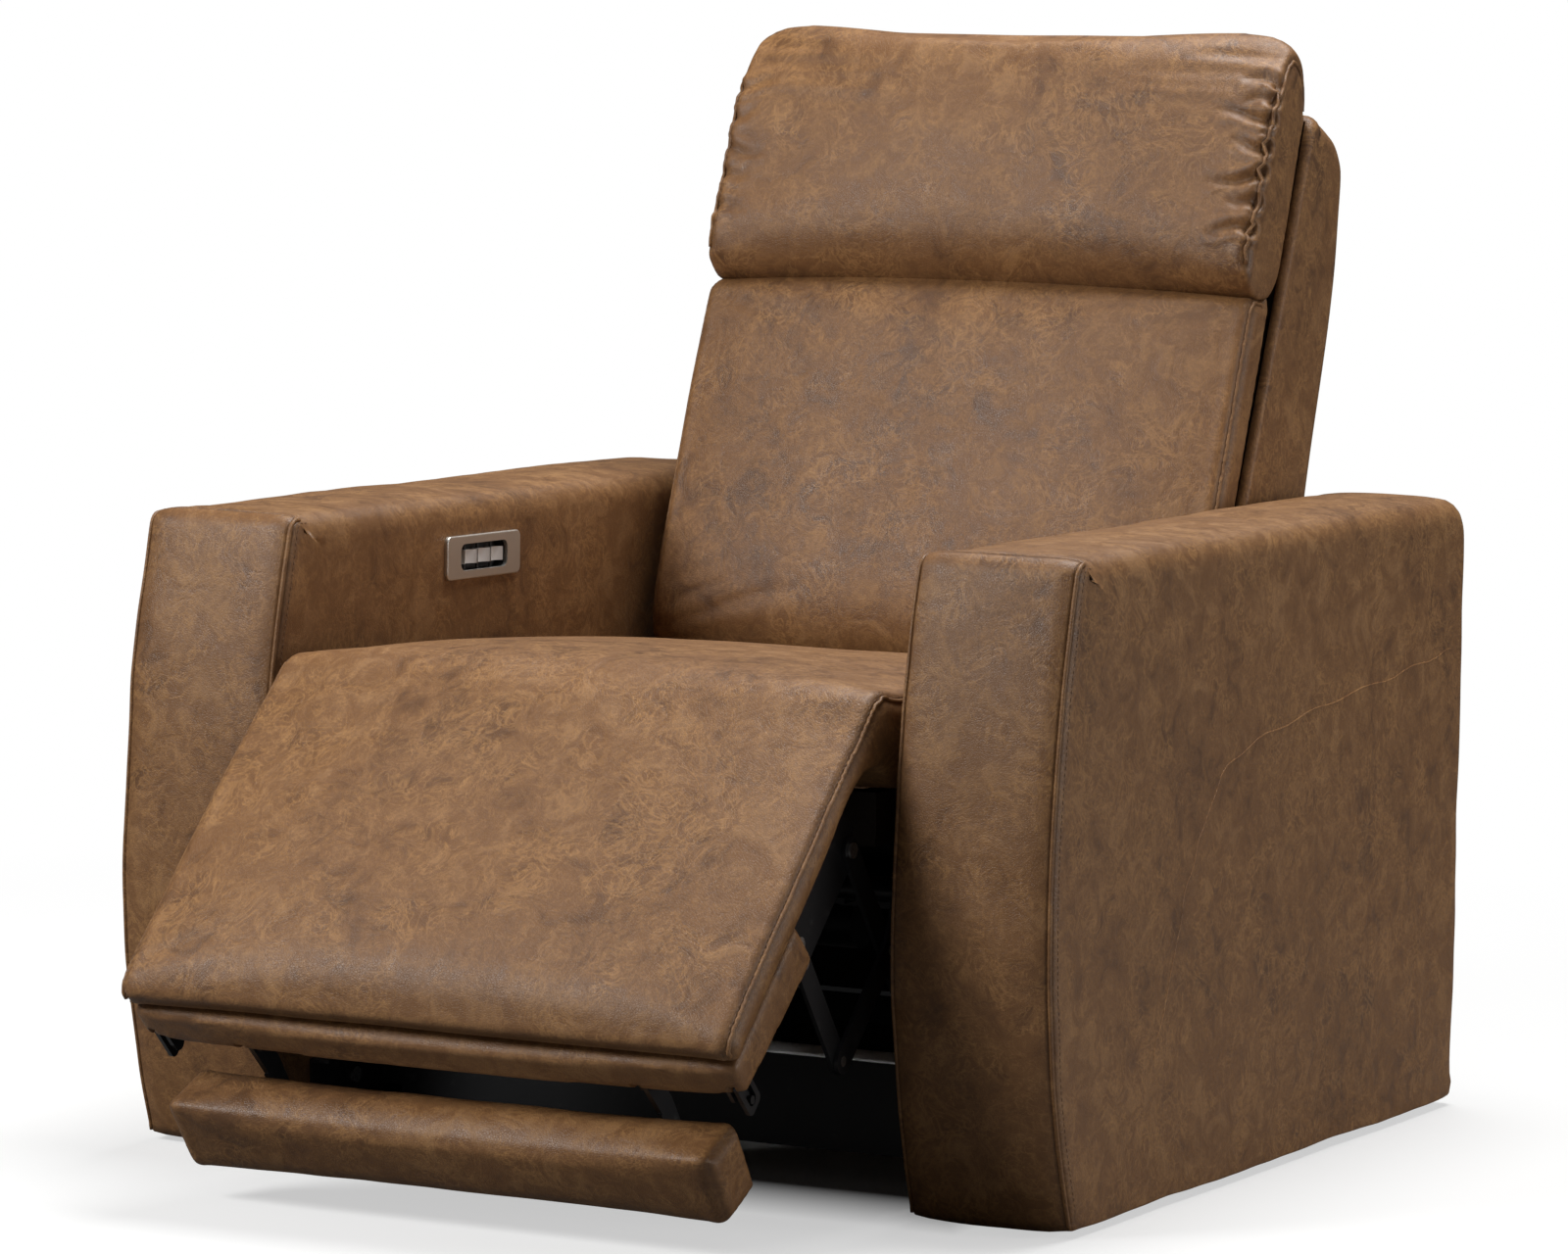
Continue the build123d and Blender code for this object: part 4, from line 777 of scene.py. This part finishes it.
def arm_outline():
    """Side view of an arm from the toe round, with the rounding and swell at each point."""
    low, high = box_of("right_arm_cover")
    toe_z, top, back, belly = low[2], high[2], high[1], low[1]
    belly_z, front, toe = 0.290, belly + 0.046, belly + 0.054
    over = ((front - belly) ** 2 + (top - 0.008 - belly_z) ** 2) / (2 * (front - belly))
    under = ((toe - belly) ** 2 + (belly_z - toe_z) ** 2) / (2 * (toe - belly))
    rise = np.linspace(toe_z, top - 0.024, 70)
    radius = np.where(rise < belly_z, under, over)
    face = np.column_stack([belly + radius - np.sqrt(radius ** 2 - (rise - belly_z) ** 2), rise])
    turn = np.linspace(0.15, 0.95, 7)[:, None]
    start, stop = face[-1], np.array((front + 0.020, top - 0.0075))
    corner = np.array((front - 0.001, top - 0.007))
    nose = (1 - turn) ** 2 * start + 2 * turn * (1 - turn) * corner + turn ** 2 * stop
    heel_r = 0.038
    deck = evened([stop, (back - heel_r, top)], 0.011)
    arc = np.radians(np.linspace(80, 0, 8))
    heel = np.column_stack([back - heel_r + heel_r * np.cos(arc), top - heel_r + heel_r * np.sin(arc)])
    rear = evened([(back, top - 0.045), (back, toe_z + 0.012)], 0.014)
    sole = evened([(back - 0.012, toe_z), (toe + 0.010, toe_z)], 0.016)
    sizes = bpy.context.scene.chair_sizes
    parts = [(face, sizes.panel_edge, 0.0035), (nose, sizes.panel_edge, 0.002), (deck, sizes.arm_edge, 0.003),
             (heel, 0.022, 0.001), (rear, 0.020, 0.001), (sole, 0.003, 0.0)]
    points, radii, swell = joined(parts)
    return points, softened(radii, 3), softened(swell, 3), len(face) + len(nose)


def inward(points):
    """Unit normals of a closed outline, towards its inside."""
    along = np.roll(points, -1, axis=0) - np.roll(points, 1, axis=0)
    along /= np.linalg.norm(along, axis=1, keepdims=True)
    normal = np.column_stack([-along[:, 1], along[:, 0]])
    middle = points.mean(axis=0) - points
    return normal * np.sign((normal * middle).sum(axis=1).mean())


def upholstered_prism(name, matrix, outline, radii, swell, low, high, dome):
    """A stuffed panel form across X: an outline with rounded edges, swollen faces and domed sides."""
    inner = inward(outline)
    shares = (0.02, 0.1, 0.18, 0.26, 0.34, 0.42, 0.5, 0.58, 0.66, 0.73, 0.8, 0.86, 0.91, 0.95, 0.98)
    turns = [radians(a) for a in (0, 18, 36, 54, 72, 90)]
    sides = []
    for x, way, lift in ((low, 1.0, dome[0]), (high, -1.0, dome[1])):
        flat = softened(outline + inner * radii[:, None], 30)
        middle = (flat.max(axis=0) + flat.min(axis=0)) / 2
        reach = np.ptp(flat, axis=0) / 2
        rings = []
        for share in shares:
            ring = side_view(x, middle + share * (flat - middle))
            bulge = np.clip(1 - ((ring[:, 1:] - middle) / reach) ** 2, 0.0, 1.0).prod(axis=1)
            ring[:, 0] -= way * lift * bulge
            rings.append(ring)
        for turn in turns:
            ring = side_view(x, outline + inner * (radii * (1 - sin(turn)))[:, None])
            ring[:, 0] += way * radii * (1 - cos(turn))
            rings.append(ring)
        sides.append(rings)
    across = []
    left, right = sides[0][-1][:, 0], sides[1][-1][:, 0]
    for t in np.linspace(0.0, 1.0, 11)[1:-1]:
        ring = side_view(0.0, outline - inner * (swell * (1 - (2 * t - 1) ** 4))[:, None])
        ring[:, 0] = left + t * (right - left)
        across.append(ring)
    rings = sides[0] + across + sides[1][::-1]
    faces = closed_strips(len(rings), len(outline))
    return piece_of(name, in_frame(matrix, np.vstack(rings)), faces, "leather")


# Hide mark on the right arm's outer face, as (y, z) places
SCAR = np.array([(0.560, 0.477), (0.405, 0.461), (0.183, 0.442), (0.009, 0.412),
                 (-0.056, 0.357), (-0.097, 0.297), (-0.126, 0.217), (-0.155, 0.146)])


class CHAIR_OT_arms(bpy.types.Operator):
    """Stuffed track arms with piped front panels and the pocket for the switch."""
    bl_idname = "chair.arms"
    bl_label = "Arms"

    def execute(self, context):
        sizes = context.scene.chair_sizes
        outline, radii, swell, front = arm_outline()
        plate_low, plate_high = box_of("switch_plate")
        insert_low, insert_high = box_of("switch_insert")

        def off_plate(places):
            near = np.linalg.norm((places - (plate_low + plate_high) / 2)[:, 1:], axis=1)
            beside_plate = np.abs(places[:, 0] - plate_low[0]) < 0.03
            return np.where(beside_plate, np.clip((near - 0.09) / 0.05, 0.0, 1.0), 1.0)

        outer_dome, fit, setback = 0.006, 0.0006, 0.0105
        tuck = 0.3 * sizes.panel_edge
        edge = outline + inward(outline) * tuck
        for side, name in ((-1, "left"), (1, "right")):
            node = name + "_arm_cover"
            low, high = box_of(node)
            dome = (outer_dome, 0.0) if side < 0 else (0.0, outer_dome)
            arm = upholstered_prism(name + "_arm_leather", CHAIR, outline, radii, swell,
                                    low[0], high[0], dome)
            ruffle(arm, amount=0.0022, scale=6.0, seed=3.1 + side, keep=off_plate)
            ruffle(arm, amount=0.0009, scale=19.0, seed=7.7 + side, keep=off_plate)
            near, far = low[0] + tuck, high[0] - tuck
            brow = evened([(near, *edge[front - 1]), (far, *edge[front - 1])], 0.006)
            piped = evened(np.vstack([side_view(near, edge[:front]), brow,
                                      side_view(far, edge[:front])[::-1]]), 0.004)
            soft = sampled(on_surface(arm, [piped]))
            crease(arm, soft, depth=0.0026, width=0.0050, lip=0.3)
            # Painted shade beside the piped seam.
            paint_crease_shade(arm, soft, width=0.0045)
            if side > 0:
                scar = through(side_view(high[0], SCAR), 8, closed=False)
                scar[:, 1:] += 0.002 * np.sin(np.arange(len(scar))[:, None] * (0.9, 1.3))
                sunk = on_surface(arm, [scar], lift=-0.0003)
                carried(tubes("right_arm_scar", sunk, 0.0008, "pale_leather"), "base")
            laid = on_surface(arm, [piped], lift=0.0009)
            carried(tubes(name + "_arm_welt", laid, sizes.welt, "welt_leather"), "base")
            beside = [side_view(x, edge[2:front] + (setback, 0)) for x in (low[0], high[0])]
            carried(stitches(name + "_arm_stitches", thread_on(arm, beside)), "base")
            if side < 0:
                cut(arm, CHAIR, oblong(insert_low[1:] - fit, insert_high[1:] + fit),
                    insert_low[0] - fit, insert_high[0] + 0.03)
            carried(arm, "base", nodes=[node])
        return {"FINISHED"}


# Chaise: seat and legrest under one cover

def leg(run, rise):
    """A (y, z) place on the legrest: run from the hinge towards the foot, rise off its face."""
    place = LEGREST @ Vector((0.0, -run, rise))
    return place.y, place.z


def chaise_section(full):
    """Side view of the seat and legrest cover."""
    drop = 0.021 * (1 - full)
    return [
        (0.298, 0.415), (0.299, 0.432), (0.284, 0.450 - 0.5 * drop), (0.180, 0.468 - drop),
        (0.040, 0.485 - drop), (-0.110, 0.497 - drop), (-0.240, 0.503 - drop), (-0.320, 0.505 - drop),
        leg(0.008, 0.055 - drop), leg(0.055, 0.058 - drop), leg(0.130, 0.060 - drop),
        leg(0.240, 0.061 - drop), leg(0.345, 0.060 - drop), leg(0.392, 0.054 - 0.8 * drop),
        leg(0.411, 0.039 - 0.3 * drop), leg(0.416, 0.026), leg(0.411, 0.014), leg(0.396, 0.010),
        leg(0.300, 0.010), leg(0.180, 0.010), leg(0.092, 0.010), (-0.372, 0.425), (-0.345, 0.410),
        (-0.315, 0.402), (-0.180, 0.401), (0.000, 0.401), (0.180, 0.401), (0.284, 0.402),
    ]


def wrap_section(full):
    """Side view of the leather round the legrest board's wide end, in the legrest's frame."""
    near, middle, far, r = -0.252, -0.330, -0.412 - 0.014 * full, 0.005
    return [(near, -0.036), (near, 0.001), (near - r, 0.006), (middle, 0.006), (far + r, 0.006),
            (far, 0.001), (far, -0.023), (far + r, -0.030), (middle, -0.037), (near - r, -0.041)]


# What passes the legrest wrap: distance from the middle, half width of the slot and its side view
WRAP_SLOTS = {
    "lower_links": (0.300, 0.011, oblong((-0.300, -0.060), (-0.200, 0.020))),
    "flipper_arms": (0.208, 0.005, oblong((-0.450, -0.090), (-0.290, -0.022))),
    "flipper_links": (0.305, 0.0032, np.array([
        (-0.450, -0.090), (-0.450, -0.0180), (-0.410, -0.0180), (-0.404, -0.0135), (-0.220, -0.0135),
        (-0.220, -0.090)])),
}


class CHAIR_OT_chaise(bpy.types.Operator):
    """Continuous seat and legrest pad with its sewn edges, and the board under it, wrapped at its end."""
    bl_idname = "chair.chaise"
    bl_label = "Chaise pad"

    def execute(self, context):
        half = 0.321
        edge = np.array(chaise_section(0.0))
        top = through(edge[2:15], 8, closed=False)
        foot = leg(0.415, 0.022)
        sides = both_sides(CHAIR, half, np.vstack([top, [foot]]))
        toe = np.array([(-half, *foot), (half, *foot)])
        below = through(edge[16:22], 6, closed=False)
        hems = both_sides(CHAIR, half, below)
        sole = [side_view(x, [(-0.3, 0.401), (0.28, 0.401)]) for x in np.linspace(-half, half, 9)]
        pad = padded_form("chaise_pad", CHAIR, half, chaise_section)
        held = sides + [toe] + hems + sole
        fill_with_air(pad, context.scene.chair_sizes.skin, cap=0.010, held=held)
        ruffle(pad, amount=0.0016, scale=9.0, seed=2.2)
        sewn(pad, "chaise_side", sides, "bend", piped=True)
        sewn(pad, "chaise_toe", [toe], "bend")
        carried(pad, "bend", nodes=["seat_cushion", "legrest_pad"])

        half = 0.3165
        hem = [(-0.255, 0.0), (-0.41, 0.0), (-0.41, -0.026), (-0.255, -0.038)]
        rim = both_sides(LEGREST, half, hem)
        wrap = padded_form("legrest_wrap", LEGREST, half, wrap_section)
        fill_with_air(wrap, 0.005, cap=0.003, held=rim)
        for s in (-1, 1):
            for x, room, outline in WRAP_SLOTS.values():
                cut(wrap, LEGREST, outline, s * x - room, s * x + room)
        carried(wrap, "legrest", nodes=["legrest_board"])

        half = 0.288
        board = oblong((-0.2515, -0.0145), (-0.086, 0.0065))
        # Near-black deck: painted shade under the legrest.
        deck = prism("legrest_deck", LEGREST, board, -half, half, "painted_shade_timber")
        worn = deck.modifiers.new("Worn edges", "BEVEL")
        worn.width, worn.segments, worn.harden_normals = 0.0015, 2, True
        bake(deck)
        carried(deck, "legrest")
        return {"FINISHED"}


class CHAIR_OT_flipper(bpy.types.Operator):
    """Padded bar that folds out under the end of the legrest."""
    bl_idname = "chair.flipper"
    bl_label = "Flipper"

    def execute(self, context):
        half = 0.287
        corners = np.array([(-0.031, 0.065), (-0.112, 0.066), (-0.122, 0.004), (-0.044, 0.001)])

        def section(full):
            ring = []
            for k, corner in enumerate(corners):
                before, after = corners[k - 1], corners[(k + 1) % 4]
                reach = 0.08 if k < 2 else 0.14
                ring += [corner + reach * (before - corner), corner + 0.012 * (before + after - 2 * corner),
                         corner + reach * (after - corner), (corner + after) / 2]
            ring = np.array(ring)
            return ring + (ring - ring.mean(axis=0)) * 0.05 * full * (np.arange(16) % 4 == 3)[:, None]

        bar = padded_form("flipper_bar", FLIPPER, half, section)
        ring = through(section(0.0), 6)
        ends = both_sides(FLIPPER, half, np.vstack([ring, ring[:1]]))
        fill_with_air(bar, 0.005, cap=0.005, held=ends)
        finer(bar)
        ruffle(bar, amount=0.0012, scale=16.0, seed=4.4)
        sewn(bar, "flipper_end", ends, "flipper")
        carried(bar, "flipper", nodes=["flipper_pad", "flipper_board"])
        return {"FINISHED"}


# Back

def back_section(full):
    """Side view of the lower back cushion, +Y to its rear."""
    front = -0.030 - 0.024 * full
    return [
        (0.011, 0.066), (0.0115, 0.250), (0.011, 0.460), (-0.004, 0.4680), (front + 0.020, 0.4690),
        (front + 0.005, 0.460), (front + 0.000, 0.436), (front - 0.001, 0.330), (front - 0.001, 0.240),
        (front + 0.002, 0.150), (front + 0.007, 0.105), (front + 0.016, 0.080), (front + 0.030, 0.067),
        (-0.006, 0.064),
    ]


def headrest_section(full):
    """Side view of the headrest pillow from its pivot, +Y to its rear."""
    front = -0.038 - 0.008 * full
    top = 0.208 + 0.036 * (1.0 - (1.0 - full ** 2) ** 4) ** 0.5
    return [
        (0.040, -0.010), (0.028, -0.036), (-0.003, -0.0475), (-0.036, -0.036), (-0.050, -0.004),
        (front - 0.006, 0.050), (front - 0.006, 0.105), (front - 0.002, 0.155), (front + 0.004, top - 0.048),
        (front + 0.014, top - 0.022), (-0.010, top), (0.018, top - 0.010), (0.035, top - 0.038),
        (0.040, top - 0.066), (0.040, 0.100), (0.040, 0.030),
    ]


def upright_lines(matrix, half, y, low, high):
    """Lines up the rear of a cushion, where its cover is held."""
    return [in_frame(matrix, side_view(x, [(y, low), (y, high)])) for x in np.linspace(-half, half, 13)]


class CHAIR_OT_back(bpy.types.Operator):
    """Lower back cushion and the outer back."""
    bl_idname = "chair.back"
    bl_label = "Back"

    def execute(self, context):
        half = 0.316
        edge = np.array(back_section(0.0))
        front = through(edge[3:13], 8, closed=False)
        sides = both_sides(BACK, half, front)
        rear = upright_lines(BACK, half, 0.011, 0.07, 0.45)
        pad = padded_form("back_pad", BACK, half, back_section)
        fill_with_air(pad, 0.0055, cap=0.010, held=sides + rear)
        finer(pad)
        ruffle(pad, amount=0.0016, scale=9.0, seed=5.2)
        sewn(pad, "back_side", sides, "back", piped=True)
        carried(pad, "back", nodes=["back_cushion"])

        rear_line = through([(0.1845, -0.048), (0.1875, 0.030), (0.1885, 0.120), (0.1870, 0.225),
                             (0.1820, 0.326), (0.1745, 0.440), (0.1640, 0.546), (0.1475, 0.615)],
                            6, closed=False)
        crown = through([(0.1475, 0.615), (0.1330, 0.662), (0.1060, 0.684), (0.0700, 0.6895),
                         (0.0420, 0.688)], 5, closed=False)
        face = evened([(0.0350, 0.680), (0.0300, 0.464), (0.0165, 0.085)], 0.012)
        foot = evened([(0.024, 0.072), (0.1800, -0.0460)], 0.012)
        outline, radii, swell = joined([(rear_line, 0.022, 0.003), (crown[1:], 0.022, 0.002),
                                        (face, 0.005, 0.0), (foot, 0.003, 0.0)])
        low, high = box_of("back_shell")
        shell = upholstered_prism("outer_back", BACK, outline, softened(radii, 2), swell,
                                  low[0], high[0], (0.001, 0.001))
        ruffle(shell, amount=0.0014, scale=7.0, seed=6.1)
        wall = 0.011
        crest = crown[crown[:, 0] > 0.07] - (0.5 * wall, wall)
        hollow = np.vstack([rear_line - (wall, 0.0), crest[1:],
                            [(-0.05, 0.677), (-0.05, -0.15), (0.17, -0.15)]])
        cut(shell, BACK, hollow, low[0] + wall, high[0] - wall)
        carried(shell, "back", nodes=["back_shell"])
        return {"FINISHED"}


# Gathers of the headrest on each side: height of each fold and its length
GATHERS = {
    1: ((0.012, 0.058), (0.040, 0.040), (0.072, 0.066), (0.102, 0.046), (0.136, 0.072), (0.160, 0.040),
        (0.178, 0.050)),
    -1: ((0.020, 0.050), (0.055, 0.044), (0.090, 0.060), (0.124, 0.042), (0.160, 0.056)),
}
GATHER_DEPTH = {1: 1.0, -1: 0.45}
# Side view of the pocket for a headrest hinge
HINGE_POCKET = np.array([(-0.018, -0.020), (0.004, -0.060), (0.070, -0.060), (0.070, 0.054), (-0.018, 0.054)])


class CHAIR_OT_headrest(bpy.types.Operator):
    """Headrest pillow, gathered into its side seams."""
    bl_idname = "chair.headrest"
    bl_label = "Headrest"

    def execute(self, context):
        half = 0.314
        edge = np.array(headrest_section(0.0))
        front = through(edge[2:13], 8, closed=False)
        sides = both_sides(HEADREST, half, front)
        rear = upright_lines(HEADREST, half, 0.040, 0.0, 0.14)
        pillow = padded_form("headrest_pad", HEADREST, half, headrest_section)
        fill_with_air(pillow, 0.0050, cap=0.010, held=sides + rear)
        finer(pillow)
        ruffle(pillow, amount=0.0018, scale=9.0, seed=8.3)
        folds = []
        t = np.linspace(0.0, 1.0, 24)
        for s, places in GATHERS.items():
            for k, (up, run) in enumerate(places):
                rise = up + 0.010 * sin(2.3 * k) * t + 0.004 * np.sin(5.0 * t + k)
                line = np.column_stack([s * (half + 0.004 - run * t), np.full(len(t), -0.048), rise])
                folds.append((in_frame(HEADREST, line), GATHER_DEPTH[s]))
        laid = on_surface(pillow, [line for line, _ in folds], step=0.002)
        soft = [(line, weight * (1 - np.linspace(0.0, 1.0, len(line))) ** 0.8)
                for line, (_, weight) in zip(laid, folds)]
        crease(pillow, soft, depth=0.0065, width=0.0050, lip=0.45)
        # Painted shade in the gathers.
        paint_crease_shade(pillow, soft, width=0.0035)
        clear_of_back = 12
        sewn(pillow, "headrest_side", [line[clear_of_back:] for line in sides], "headrest", piped=True)
        for x in (-0.25, 0.25):
            cut(pillow, HEADREST, HINGE_POCKET, x - 0.016, x + 0.016)
        carried(pillow, "headrest", nodes=["headrest_pillow"])
        return {"FINISHED"}


# Steel, timber and switch

class CHAIR_OT_lining(bpy.types.Operator):
    """Black lining stretched over the rear panel, open at the power inlet; its black is partly a real dust
    cloth and partly painted shade for the inside of the chair.
    """
    bl_idname = "chair.lining"
    bl_label = "Rear lining"

    def execute(self, context):
        low, high = box_of("rear_panel")
        inlet_low, inlet_high = box_of("power_inlet")
        overhang, beside_inlet, over_inlet, margin = 0.014, 0.015, 0.012, 0.01
        low[2] -= overhang
        half, thick = high[0], (high[1] - low[1]) / 2
        rows, columns = 30, 60
        rise = np.linspace(low[2], high[2], rows)
        ring = np.vstack([np.column_stack([np.full(rows, low[1]), rise]),
                          np.column_stack([np.full(rows, high[1]), rise[::-1]])])
        rings = [side_view(x, ring) for x in np.linspace(-half, half, columns)]
        lining = piece_of("rear_lining", np.vstack(rings), closed_strips(columns, 2 * rows), "dust_cloth_with_painted_shade")
        ruffle(lining, amount=0.0008, scale=14.0, seed=9.4)
        way_in = oblong((low[1] - 0.05, inlet_low[2] - over_inlet),
                        (high[1] + 0.05, inlet_high[2] + over_inlet))
        cut(lining, CHAIR, way_in, inlet_low[0] - beside_inlet, inlet_high[0] + beside_inlet)
        hems = [[(x, high[1] - 0.3 * thick, z) for x in (-half + margin, half - margin)]
                for z in (low[2] + margin, high[2] - margin)]
        carried(stitches("lining_stitches", thread_on(lining, hems)), "base")
        carried(lining, "base", nodes=["rear_panel"])
        return {"FINISHED"}


class CHAIR_OT_hardware(bpy.types.Operator):
    """Finishes of the linkage, drives, frames and switch."""
    bl_idname = "chair.hardware"
    bl_label = "Hardware"

    NODES = {
        "painted_steel": (
            "base_rails", "cross_tubes", "side_plates", "motor_tubes", "legrest_brackets",
            "legrest_stretcher", "upper_links", "lower_links", "front_cranks", "rear_cranks", "drive_tube",
            "back_tube", "flipper_arms", "flipper_lugs", "flipper_shaft", "flipper_links", "back_hinges",
            "headrest_hinges", "headrest_frame", "drive_tracks"),
        "plated_steel": (
            "arm_bolts", "pivot_pins", "front_crank_rivets", "rear_crank_rivets", "legrest_rivets",
            "nose_rivets", "drive_screws", "seat_springs", "headrest_rod"),
        "moulded_plastic": (
            "arm_glides", "legrest_motor", "back_motor", "headrest_motor", "legrest_slider", "back_slider",
            "control_box", "power_inlet", "switch_insert"),
        "sawn_timber": ("left_arm_frame", "right_arm_frame"),
        # Near-black frames: painted shade inside the chair.
        "painted_shade_timber": ("seat_side_rails", "seat_cross_rails", "back_frame"),
        "woven_webbing": ("back_webbing",),
        "satin_nickel": ("switch_plate",),
        "silver_rocker": ("legrest_rocker", "back_rocker", "headrest_rocker"),
    }

    def execute(self, context):
        for material, names in self.NODES.items():
            for name in names:
                mesh = frame["nodes"][name].data
                mesh.materials.clear()
                mesh.materials.append(finish(material))
        return {"FINISHED"}


# Stage

class CHAIR_OT_stage(bpy.types.Operator):
    """Pale floor, white surround, soft lamps and the camera."""
    bl_idname = "chair.stage"
    bl_label = "Stage"

    def execute(self, context):
        scene = context.scene
        half = 14.0
        mesh = bpy.data.meshes.new("studio_floor")
        corners = [(-half, -half, 0), (half, -half, 0), (half, half, 0), (-half, half, 0)]
        mesh.from_pydata(corners, [], [(0, 1, 2, 3)])
        floor = placed("studio_floor", mesh)
        f = Finish("studio_floor")
        far = f.node("VectorMath", {0: f.place}, operation="LENGTH").outputs["Value"]
        speck = f.noise(3.0, 3.0)
        rays = f.node("LightPath").outputs["Is Camera Ray"]
        pale = f.blend(f.times(speck, 0.04), scene.chair_colours.floor, (0.80, 0.80, 0.79))
        f.surface(Base_Color=f.blend(rays, (0.18, 0.18, 0.18), pale), Roughness=0.9, Specular_IOR_Level=0.1)
        glow = f.node("Emission", {"Color": (1.0, 1.0, 1.0, 1.0), "Strength": 1.0})
        spot = f.node("SeparateXYZ", {0: f.place})
        sides = f.node("Math", {0: spot.outputs["X"]}, operation="ABSOLUTE").outputs[0]
        ends = f.node("Math", {0: f.sum(spot.outputs["Y"], 1.0, -0.2)}, operation="ABSOLUTE").outputs[0]
        outside = f.node("Math", {0: f.spread(sides, 0.30, 0.40), 1: f.spread(ends, 0.40, 0.56)},
                         operation="MAXIMUM")
        share = f.times(f.times(rays, outside.outputs[0]), f.spread(far, 0.6, 2.4, 0.55, 1.0))
        mix = f.node("MixShader", {0: share, 1: f.shader.outputs[0], 2: glow.outputs[0]})
        f.tree.links.new(mix.outputs[0], f.out.inputs["Surface"])
        mesh.materials.append(f.material)

        world = bpy.data.worlds.new("studio")
        scene.world = world
        world.use_nodes = True
        tree = world.node_tree
        tree.nodes.clear()
        out = tree.nodes.new("ShaderNodeOutputWorld")
        dim, white, mixed, path, seen = (tree.nodes.new("ShaderNode" + kind) for kind in (
            "Background", "Background", "MixShader", "LightPath", "Math"))
        for shade, strength in ((dim, 0.09), (white, 1.0)):
            shade.inputs["Color"].default_value = (1.0, 1.0, 1.0, 1.0)
            shade.inputs["Strength"].default_value = strength
        seen.operation = "MAXIMUM"
        for k, ray in enumerate(("Is Camera Ray", "Is Transmission Ray")):
            tree.links.new(path.outputs[ray], seen.inputs[k])
        for k, node in enumerate((seen, dim, white)):
            tree.links.new(node.outputs[0], mixed.inputs[k])
        tree.links.new(mixed.outputs[0], out.inputs["Surface"])

        for name, place, aim, size, watts in (
                ("key", (-1.8, -3.0, 2.6), (0.0, -0.1, 0.5), 1.8, 142.0),
                ("side", (4.2, 0.7, 1.0), (0.2, 0.1, 0.5), 1.3, 58.0),
                ("top", (0.3, 1.0, 4.1), (0.0, 0.0, 0.6), 2.4, 190.0)):
            light = bpy.data.lights.new(name + "_lamp", "AREA")
            light.shape, light.size, light.energy = "DISK", size, watts
            lamp = placed(name + "_lamp", light)
            lamp.location = place
            lamp.rotation_euler = (Vector(aim) - Vector(place)).to_track_quat("-Z", "Y").to_euler()

        turn, tilt, roll = radians(27.780), radians(5.079), radians(0.968)
        back = Vector((sin(turn) * cos(tilt), -cos(turn) * cos(tilt), sin(tilt)))
        right = (-back).cross(Vector((0.0, 0.0, 1.0))).normalized()
        up = right.cross(-back)
        axes = Matrix((cos(roll) * right + sin(roll) * up, cos(roll) * up - sin(roll) * right, back))
        sensor, focal_pixels, photo_pixels = 36.0, 6691.8, 1600.0
        lens = bpy.data.cameras.new("camera")
        lens.sensor_width, lens.lens = sensor, sensor * focal_pixels / photo_pixels
        lens.clip_end = 60.0
        camera = placed("camera", lens)
        camera.matrix_world = Matrix.Translation((3.0135, -5.6743, 1.0820)) @ axes.transposed().to_4x4()
        scene.camera = camera
        scene.view_settings.view_transform = "Standard"
        return {"FINISHED"}


class CHAIR_PT_panel(bpy.types.Panel):
    """Lists the chair's pieces, sizes and colours."""
    bl_idname = "CHAIR_PT_panel"
    bl_label = "Reclining chair"
    bl_space_type = "VIEW_3D"
    bl_region_type = "UI"
    bl_category = "Chair"

    def draw(self, context):
        for group in (context.scene.chair_sizes, context.scene.chair_colours):
            for key in group.__annotations__:
                self.layout.prop(group, key)
        for step in STEPS:
            self.layout.operator(step.bl_idname)


STEPS = (CHAIR_OT_stage, CHAIR_OT_arms, CHAIR_OT_chaise, CHAIR_OT_flipper, CHAIR_OT_back, CHAIR_OT_headrest,
         CHAIR_OT_lining, CHAIR_OT_hardware)
CLASSES = (ChairSizes, ChairColours, *STEPS, CHAIR_PT_panel)


def register():
    """Add the classes and the chair's settings."""
    for cls in CLASSES:
        bpy.utils.register_class(cls)
    bpy.types.Scene.chair_sizes = PointerProperty(type=ChairSizes)
    bpy.types.Scene.chair_colours = PointerProperty(type=ChairColours)


def unregister():
    """Remove the classes and the settings."""
    del bpy.types.Scene.chair_colours
    del bpy.types.Scene.chair_sizes
    for cls in reversed(CLASSES):
        bpy.utils.unregister_class(cls)


def main():
    """Make every piece."""
    register()
    for step in (bpy.ops.chair.stage, bpy.ops.chair.arms, bpy.ops.chair.chaise, bpy.ops.chair.flipper,
                 bpy.ops.chair.back, bpy.ops.chair.headrest, bpy.ops.chair.lining, bpy.ops.chair.hardware):
        step()


if __name__ == "__main__":
    main()
